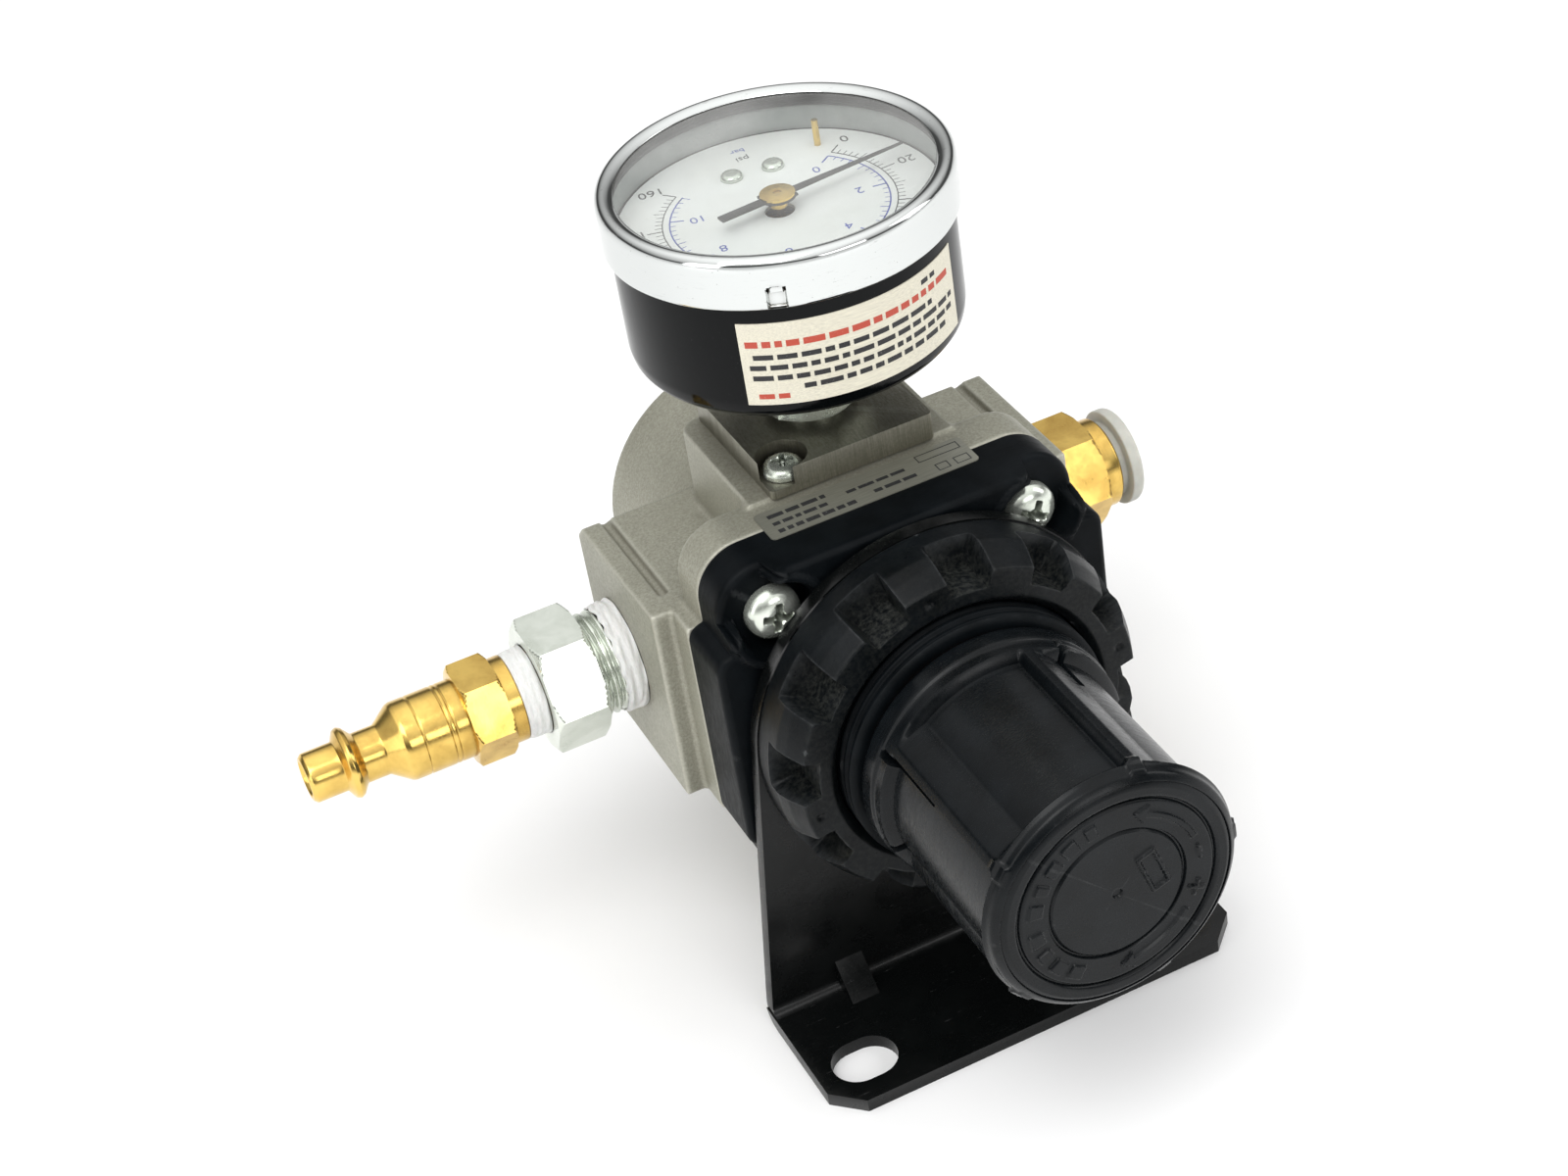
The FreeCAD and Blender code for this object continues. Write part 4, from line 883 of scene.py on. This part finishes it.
def make_bonnet():
    """Bonnet block: a square with side wings, walls up from the seam, a rounded edge and the front face."""
    segments = 576
    angle = np.arange(segments) * TAU / segments
    outline = np.maximum(box_radius(angle, 29.2, 29.2, 7.5), box_radius(angle, 31.8, 17.9, 2.5))
    inner = 20.5
    edge = 1.1
    chamfer = 0.25
    wall_rows, edge_rows, face_rows = 14, 5, 56

    def level(value):
        return np.full(segments, value)

    seam = level(-12.0)
    top_edge = bonnet_top(outline * np.cos(angle), outline * np.sin(angle))
    rows = [(level(inner), seam), (outline - chamfer, seam), (outline, seam + chamfer)]
    for step in range(1, wall_rows + 1):
        rows.append((outline, seam + chamfer + (top_edge - edge - seam - chamfer) * step / wall_rows))
    for step in range(1, edge_rows + 1):
        bend = math.pi / 2 * step / edge_rows
        rows.append((outline - edge * (1 - math.cos(bend)), top_edge - edge * (1 - math.sin(bend))))
    for step in range(1, face_rows):
        radius = (outline - edge) + (inner - outline + edge) * step / face_rows
        rows.append((radius, bonnet_top(radius * np.cos(angle), radius * np.sin(angle))))
    rows.append((level(inner), level(BONNET_FACE)))
    radius = np.array([row[0] for row in rows])
    height = np.array([row[1] for row in rows])
    points = on_main(radius * np.cos(angle), radius * np.sin(angle), height).reshape(-1, 3)
    make_piece("bonnet_block", points, grid_faces(len(rows), segments, True), "bonnet", crease=38.0)


# ---------------- screws
def cross_field(head_r, head_height, base, turn):
    """Field that sinks a cross recess into a domed head."""
    def field(angle, radius, height):
        x = radius * np.cos(angle + turn)
        y = radius * np.sin(angle + turn)
        near = np.minimum(np.abs(x), np.abs(y))
        far = np.maximum(np.abs(x), np.abs(y))
        arm = ease(near, 0.14 * head_r, 0.085 * head_r) * ease(far, 0.56 * head_r, 0.46 * head_r)
        core = ease(np.hypot(x, y), 0.3 * head_r, 0.18 * head_r)
        depth = head_height * (0.5 * arm + 0.25 * core)
        return radius, np.where(height > base + 0.3 * head_height, height - depth, height)
    return field


def pan_screws(name, node, centres, place, head_r, head_height, shank_r, length):
    """Domed cross-head screws in one piece; each centre is (x, y, seat height, turn in degrees)."""
    rim = 0.28 * head_height
    dome_steps = 14
    points = []
    faces = []
    for x, y, seat, turn in centres:
        dome = []
        for step in range(dome_steps):
            a = math.pi / 2 * step / dome_steps
            dome.append((head_r * math.cos(a) ** 0.8, seat + rim + (head_height - rim) * math.sin(a)))
        dome.append((0.0, seat + head_height))
        profile = [(0.0, seat - length), (shank_r * 0.7, seat - length), (shank_r, seat - length + 0.8),
                   (shank_r, seat), (head_r - 0.15, seat), (head_r, seat + 0.15)] + divide(dome, 0.16)
        angle, radius, height = revolve(profile, 96)
        field = cross_field(head_r, head_height, seat, math.radians(turn))
        radius, height = field(angle, radius, height)
        turned = place(x + radius * np.cos(angle), y + radius * np.sin(angle), height).reshape(-1, 3)
        faces.extend(grid_faces(len(profile), 96, False) + len(points))
        points.extend(turned)
    make_piece(name, points, faces, node, crease=40.0)


def make_screws():
    """Four bonnet screws and two gauge plate screws."""
    near, far, seat = -SCREW_REACH, SCREW_REACH, SCREW_SEAT
    bonnet = [(near, far, seat, 12.0), (far, far, seat, 28.0), (near, near, seat, 50.0),
              (far, near, seat, 75.0)]
    pan_screws("bonnet_screw_heads", "bonnet_screws", bonnet, on_main, 4.3, 3.3, 1.95, 12.0)
    plate = [(-9.6, -9.6, 81.2, 20.0), (9.6, 9.6, 81.2, 55.0)]
    pan_screws("plate_screw_heads", "gauge_plate_screws", plate, on_gauge, 3.1, 2.3, 1.4, 7.5)


# ---------------- port fittings
def make_inlet():
    """Thread tape, hexagon bushing, quick-connect plug and its own tape."""
    tape = soften([(8.2, 35.02), (8.9, 35.02), (8.85, 37.8), (8.5, 38.5), (8.2, 38.5)], 0.15)
    lathe("inlet_tape_wrap", divide(tape, 0.2), on_inlet, "inlet_thread_tape", 192,
          tape_field(8.5, 0.16, 1.7, 2.2, 11, 37.8), 50.0)

    _, hex_low, hex_high = BUSHING_HEX
    outside = divide([(8.3, 24.0), (8.3, 38.0)], 2.0) + divide([(8.3, 38.0), (8.3, 41.4)], 0.12)
    outside += [(8.0, 41.7), (8.0, hex_low)] + hex_run(*BUSHING_HEX, 1.2)
    bore = [(7.4, hex_high), (7.0, 50.2), (6.85, 49.8), (6.85, 40.0), (4.6, 40.0), (4.6, 24.0)]
    lathe("inlet_bushing_hex", outside + bore, on_inlet, "inlet_bushing", 240,
          pipe_field(BUSHING_HEX, 0.55, 0.0, 41.5), 30.0)

    _, hex_low, hex_high = PLUG_HEX
    profile = [(2.4, 39.2), (6.35, 39.2), (6.7, 50.0), (6.7, 54.0), (6.9, 54.2), (6.9, hex_low)]
    profile += hex_run(*PLUG_HEX, 0.8)
    barrel = [(6.3, hex_high)]
    for line in (64.6, 65.4, 69.6):
        barrel += [(6.3, line), (6.18, line + 0.1), (6.18, line + 0.25), (6.3, line + 0.35)]
    barrel += [(6.3, 72.2), (6.1, 72.8), (4.0, 75.6), (4.0, 79.2), (5.4, 80.3), (5.7, 80.95), (5.4, 81.6),
               (3.95, 82.4), (3.95, 87.2), (3.4, 87.8), (3.0, 87.8), (2.4, 87.0)]
    lathe("inlet_plug_body", divide(profile + soften(barrel, 0.14), 0.8), on_inlet, "quick_connect_plug", 192,
          hex_zone(*PLUG_HEX), 32.0)

    tape = soften([(6.6, 50.52), (7.2, 50.52), (7.1, 53.2), (6.85, 54.0), (6.6, 54.0)], 0.15)
    lathe("plug_tape_wrap", divide(tape, 0.2), on_inlet, "plug_thread_tape", 160,
          tape_field(6.9, 0.12, 1.3, 2.5, 21), 50.0)


def make_outlet():
    """Push-in fitting and the release ring in its mouth."""
    profile = divide([(8.3, 24.0), (8.3, 34.4)], 2.0) + divide([(8.3, 34.5), (8.3, 36.1)], 0.12)
    profile += hex_run(*OUTLET_HEX, 1.0)
    profile += soften([(7.4, 46.8), (7.4, 49.6), (7.0, 50.0), (6.2, 50.0), (6.2, 47.9), (6.6, 47.9),
                       (6.6, 37.9), (4.81, 37.9), (4.81, 34.0), (4.0, 34.0), (4.0, 24.0)], 0.12)
    lathe("outlet_fitting_hex", profile, on_outlet, "outlet_fitting_body", 192,
          pipe_field(OUTLET_HEX, 0.5, 34.6, 36.1), 32.0)
    ring = soften([(4.82, 48.3), (6.1, 48.3), (6.1, 51.3), (8.0, 51.3), (8.0, 53.0), (7.6, 53.5), (5.6, 53.5),
                   (4.82, 52.8)], 0.3)
    lathe("outlet_release_collar", ring, on_outlet, "outlet_release_ring")


# ---------------- gauge
def make_gauge_socket():
    """Stem of the gauge, with its spanner hexagon."""
    profile = divide([(1.5, 75.4), (4.85, 75.4), (4.85, 85.6), (5.2, 85.6)], 2.0)
    profile += hex_run(*STEM_HEX, 1.0)
    profile += soften([(6.0, 93.5), (6.0, 94.6), (8.2, 94.6), (8.2, 97.3), (6.0, 97.3), (6.0, 102.0),
                       (4.5, 103.8), (1.5, 103.8)], 0.2)
    lathe("gauge_stem_hex", profile, on_gauge, "gauge_socket", 144, hex_zone(*STEM_HEX), 30.0)


def bezel_field(angle, radius, height):
    """A slot up from the skirt's lower edge with a tab at its top, and faint dents round the rim."""
    across = np.abs(away_from(angle, -116.0)) * math.radians(26.05)
    top = 120.4 - 0.55 * np.maximum(across - 0.5, 0) ** 2
    slot = ease(across, 1.4, 1.2) * ease(height, top, top - 0.25)
    tab = ease(across, 1.1, 0.9) * ease(height, 119.0, 119.3)
    sunk = 0.85 * slot * (1.0 - 0.75 * tab)
    dents = 0.04 * ripple(angle, height * 0.3, 31)
    return np.where(radius > 25.8, radius + dents - sunk, radius), height


def make_bezel():
    """Chromed bezel, and the case with a grey wall above the dial."""
    profile = soften([(25.06, 116.7), (25.85, 116.7), (26.05, 116.95), (26.05, 121.8), (26.05, 123.0),
                      (25.85, 123.9), (25.3, 124.45), (24.6, 124.58), (23.8, 124.35), (23.2, 123.95),
                      (23.15, 123.82), (25.06, 123.8)], 0.35, 4)
    lathe("gauge_bezel_ring", divide(profile, 0.3), on_gauge, "gauge_bezel", 960, bezel_field, 40.0)
    case = soften([(6.2, 97.4), (22.0, 97.4), (23.8, 98.0), (24.7, 99.1), (25.0, 100.8), (25.0, 121.4),
                   (24.2, 121.4), (24.2, DIAL_TOP), (24.1, DIAL_TOP - 1.5), (24.1, 100.8), (23.2, 98.9),
                   (21.8, 98.3), (6.2, 98.3)], 0.5, 4)
    shell = lathe("gauge_case_shell", case, on_gauge, "gauge_case", 192)
    shell.data.materials.append(FINISH["inner_wall"])
    for face in shell.data.polygons:
        x, y, z = face.center / MM
        if z > DIAL_TOP + 0.1 and math.hypot(x, y - PANEL_Y - GAUGE_BACK) < 24.3:
            face.material_index = 1


def make_window():
    """Window pane; only its upper face shines."""
    profile = [(0.0, 122.1), (24.5, 122.1), (24.75, 122.3), (24.75, 123.4), (24.4, 123.7), (0.0, 123.74)]
    pane = lathe("gauge_pane", profile, on_gauge, "gauge_window")
    pane.data.materials.append(FINISH["window_back"])
    for face in pane.data.polygons:
        if face.normal.z < 0.5:
            face.material_index = 1


def standing(ring, low, high):
    """Eight points of a box on the gauge: a ring of four (x, y) at two heights."""
    return [tuple(on_gauge(x, y, height)) for height in (low, high) for x, y in ring]


def ring_boxes(inner, outer, first, last, low, high, step):
    """Boxes that fill a stretch of ring between two angles, none wider than step degrees."""
    count = max(1, math.ceil(abs(last - first) / step))
    result = []
    for index in range(count):
        a = math.radians(first + (last - first) * index / count)
        b = math.radians(first + (last - first) * (index + 1) / count)
        corners = [(inner, a), (outer, a), (outer, b), (inner, b)]
        ring = [(radius * math.cos(turn), radius * math.sin(turn)) for radius, turn in corners]
        result.append(standing(ring, low, high))
    return result


def dial_angle(pressure, full):
    """Direction of a reading in degrees from +X towards +Y."""
    return 90.0 + DIAL_TURN - 45.0 - 270.0 * pressure / full


def tick(inner, outer, turn, width):
    """One radial stroke on the dial."""
    a = math.radians(turn)
    corners = [(inner, -width / 2), (outer, -width / 2), (outer, width / 2), (inner, width / 2)]
    ring = [(along * math.cos(a) - across * math.sin(a), along * math.sin(a) + across * math.cos(a))
            for along, across in corners]
    return standing(ring, DIAL_TOP - 0.01, DIAL_TOP + INK)


def numerals(name, entries, size, finish):
    """Upright numbers on the dial in one piece; entries are (text, radius, direction)."""
    points = []
    faces = []
    spin = math.radians(180.0 + DIAL_TURN)
    for text, radius, turn in entries:
        curve = bpy.data.curves.new(name + "_text", "FONT")
        curve.body = text
        curve.size = size
        curve.align_x = "CENTER"
        curve.align_y = "CENTER"
        curve.extrude = INK / 2
        curve.resolution_u = 3
        item = link_new(name + "_text", curve)
        mesh = evaluated_mesh(item)
        bpy.data.objects.remove(item)
        a = math.radians(turn)
        first = len(points)
        for vertex in mesh.vertices:
            x = vertex.co.x * math.cos(spin) - vertex.co.y * math.sin(spin) + radius * math.cos(a)
            y = vertex.co.x * math.sin(spin) + vertex.co.y * math.cos(spin) + radius * math.sin(a)
            points.append(tuple(on_gauge(x, y, DIAL_TOP + INK / 2 + vertex.co.z)))
        for face in mesh.polygons:
            faces.append([first + index for index in face.vertices])
    make_piece(name, points, faces, None, finish)


def make_dial_print():
    """Two scales with their numbers and units; full_outer and full_inner are the last readings."""
    full_outer = 160
    full_inner = 11.03
    first = dial_angle(0, full_outer)
    last = dial_angle(full_outer, full_outer)
    low, high = DIAL_TOP - 0.01, DIAL_TOP + INK
    black = ring_boxes(16.95, 17.12, first, last, low, high, 4.0)
    for pressure in range(0, full_outer + 1, 2):
        reach = 19.3 if pressure % 20 == 0 else (18.7 if pressure % 10 == 0 else 18.1)
        width = 0.2 if pressure % 20 == 0 else 0.11
        black.append(tick(17.1, reach, dial_angle(pressure, full_outer), width))
    boxes("dial_scale_outer", black, "ink_black")
    blue = ring_boxes(15.85, 16.08, first, last, low, high, 4.0)
    for step in range(56):
        major = step % 10 == 0
        reach = 13.9 if major else (14.6 if step % 5 == 0 else 15.1)
        blue.append(tick(reach, 15.9, dial_angle(step / 5, full_inner), 0.26 if major else 0.12))
    boxes("dial_scale_inner", blue, "ink_blue")
    outer = [(str(reading), 21.3, dial_angle(reading, full_outer)) for reading in range(0, 161, 20)]
    numerals("dial_numbers_outer", outer, 2.7, "ink_black")
    inner = [(str(reading), 11.9, dial_angle(reading, full_inner)) for reading in range(0, 11, 2)]
    numerals("dial_numbers_inner", inner, 2.5, "ink_blue")
    numerals("dial_unit_outer", [("psi", 17.6, 90.0 + DIAL_TURN)], 1.9, "ink_black")
    numerals("dial_unit_inner", [("bar", 20.2, 90.0 + DIAL_TURN)], 1.7, "ink_blue")


def make_label_print():
    """Plain printed runs on the case label and on the nameplate: no letters."""
    rng = random.Random(4)
    printed_runs = {"ink_black": [], "ink_red": []}
    skin = 25.16
    plate = []
    lines = [(112.4, 0.75, "ink_black", -66.0, -58.0), (110.7, 1.0, "ink_red", -129.0, -50.0),
             (108.6, 0.8, "ink_black", -127.0, -62.0), (106.9, 0.8, "ink_black", -128.5, -50.0),
             (105.2, 0.8, "ink_black", -128.0, -51.0), (103.5, 0.8, "ink_black", -112.0, -56.0),
             (102.2, 0.8, "ink_red", -127.0, -117.0)]
    for height, size, ink, start, end in lines:
        turn = start
        while turn < end - 1.0:
            length = min(rng.uniform(2.0, 7.5), end - turn)
            printed_runs[ink].extend(ring_boxes(skin - 0.02, skin + 0.02, turn, turn + length,
                                                height - size / 2, height + size / 2, 3.0))
            turn += length + 1.3
    boxes("label_print_black", printed_runs["ink_black"], "ink_black")
    boxes("label_print_red", printed_runs["ink_red"], "ink_red")
    low, high = 79.33, 79.37
    for y, size, start, end in ((28.6, 0.9, -15.8, -3.0), (30.6, 0.8, -15.8, -7.0), (32.6, 0.9, -15.8, -6.0),
                                (29.2, 0.8, 0.0, 7.2), (31.4, 0.7, -3.5, 6.5)):
        x = start
        while x < end - 0.4:
            length = min(rng.uniform(0.8, 2.6), end - x)
            plate.append(slab(x, x + length, y - size / 2, y + size / 2, low, high))
            x += length + 0.45
    for x0, x1, y0, y1 in ((8.6, 15.6, 31.6, 33.4), (10.2, 12.2, 28.0, 29.8), (13.2, 15.6, 28.0, 29.8)):
        line = 0.16
        plate.append(slab(x0, x1, y0, y0 + line, low, high))
        plate.append(slab(x0, x1, y1 - line, y1, low, high))
        plate.append(slab(x0, x0 + line, y0 + line, y1 - line, low, high))
        plate.append(slab(x1 - line, x1, y0 + line, y1 - line, low, high))
    boxes("nameplate_print", plate, "ink_black")


# ---------------- the scene
finish_cad_nodes()
make_camera()
make_studio()
make_knob()
make_set_nut()
make_neck()
make_bonnet()
make_screws()
make_inlet()
make_outlet()
make_gauge_socket()
make_bezel()
make_window()
make_dial_print()
make_label_print()
cast_copy("body_casting", "body", 0.42, 2)
bevelled_copy("bracket_sheet", "bracket", 0.3)
bevelled_copy("gauge_plate_block", "gauge_plate", 0.3)
bevelled_copy("pointer_blade", "gauge_pointer", 0.06)
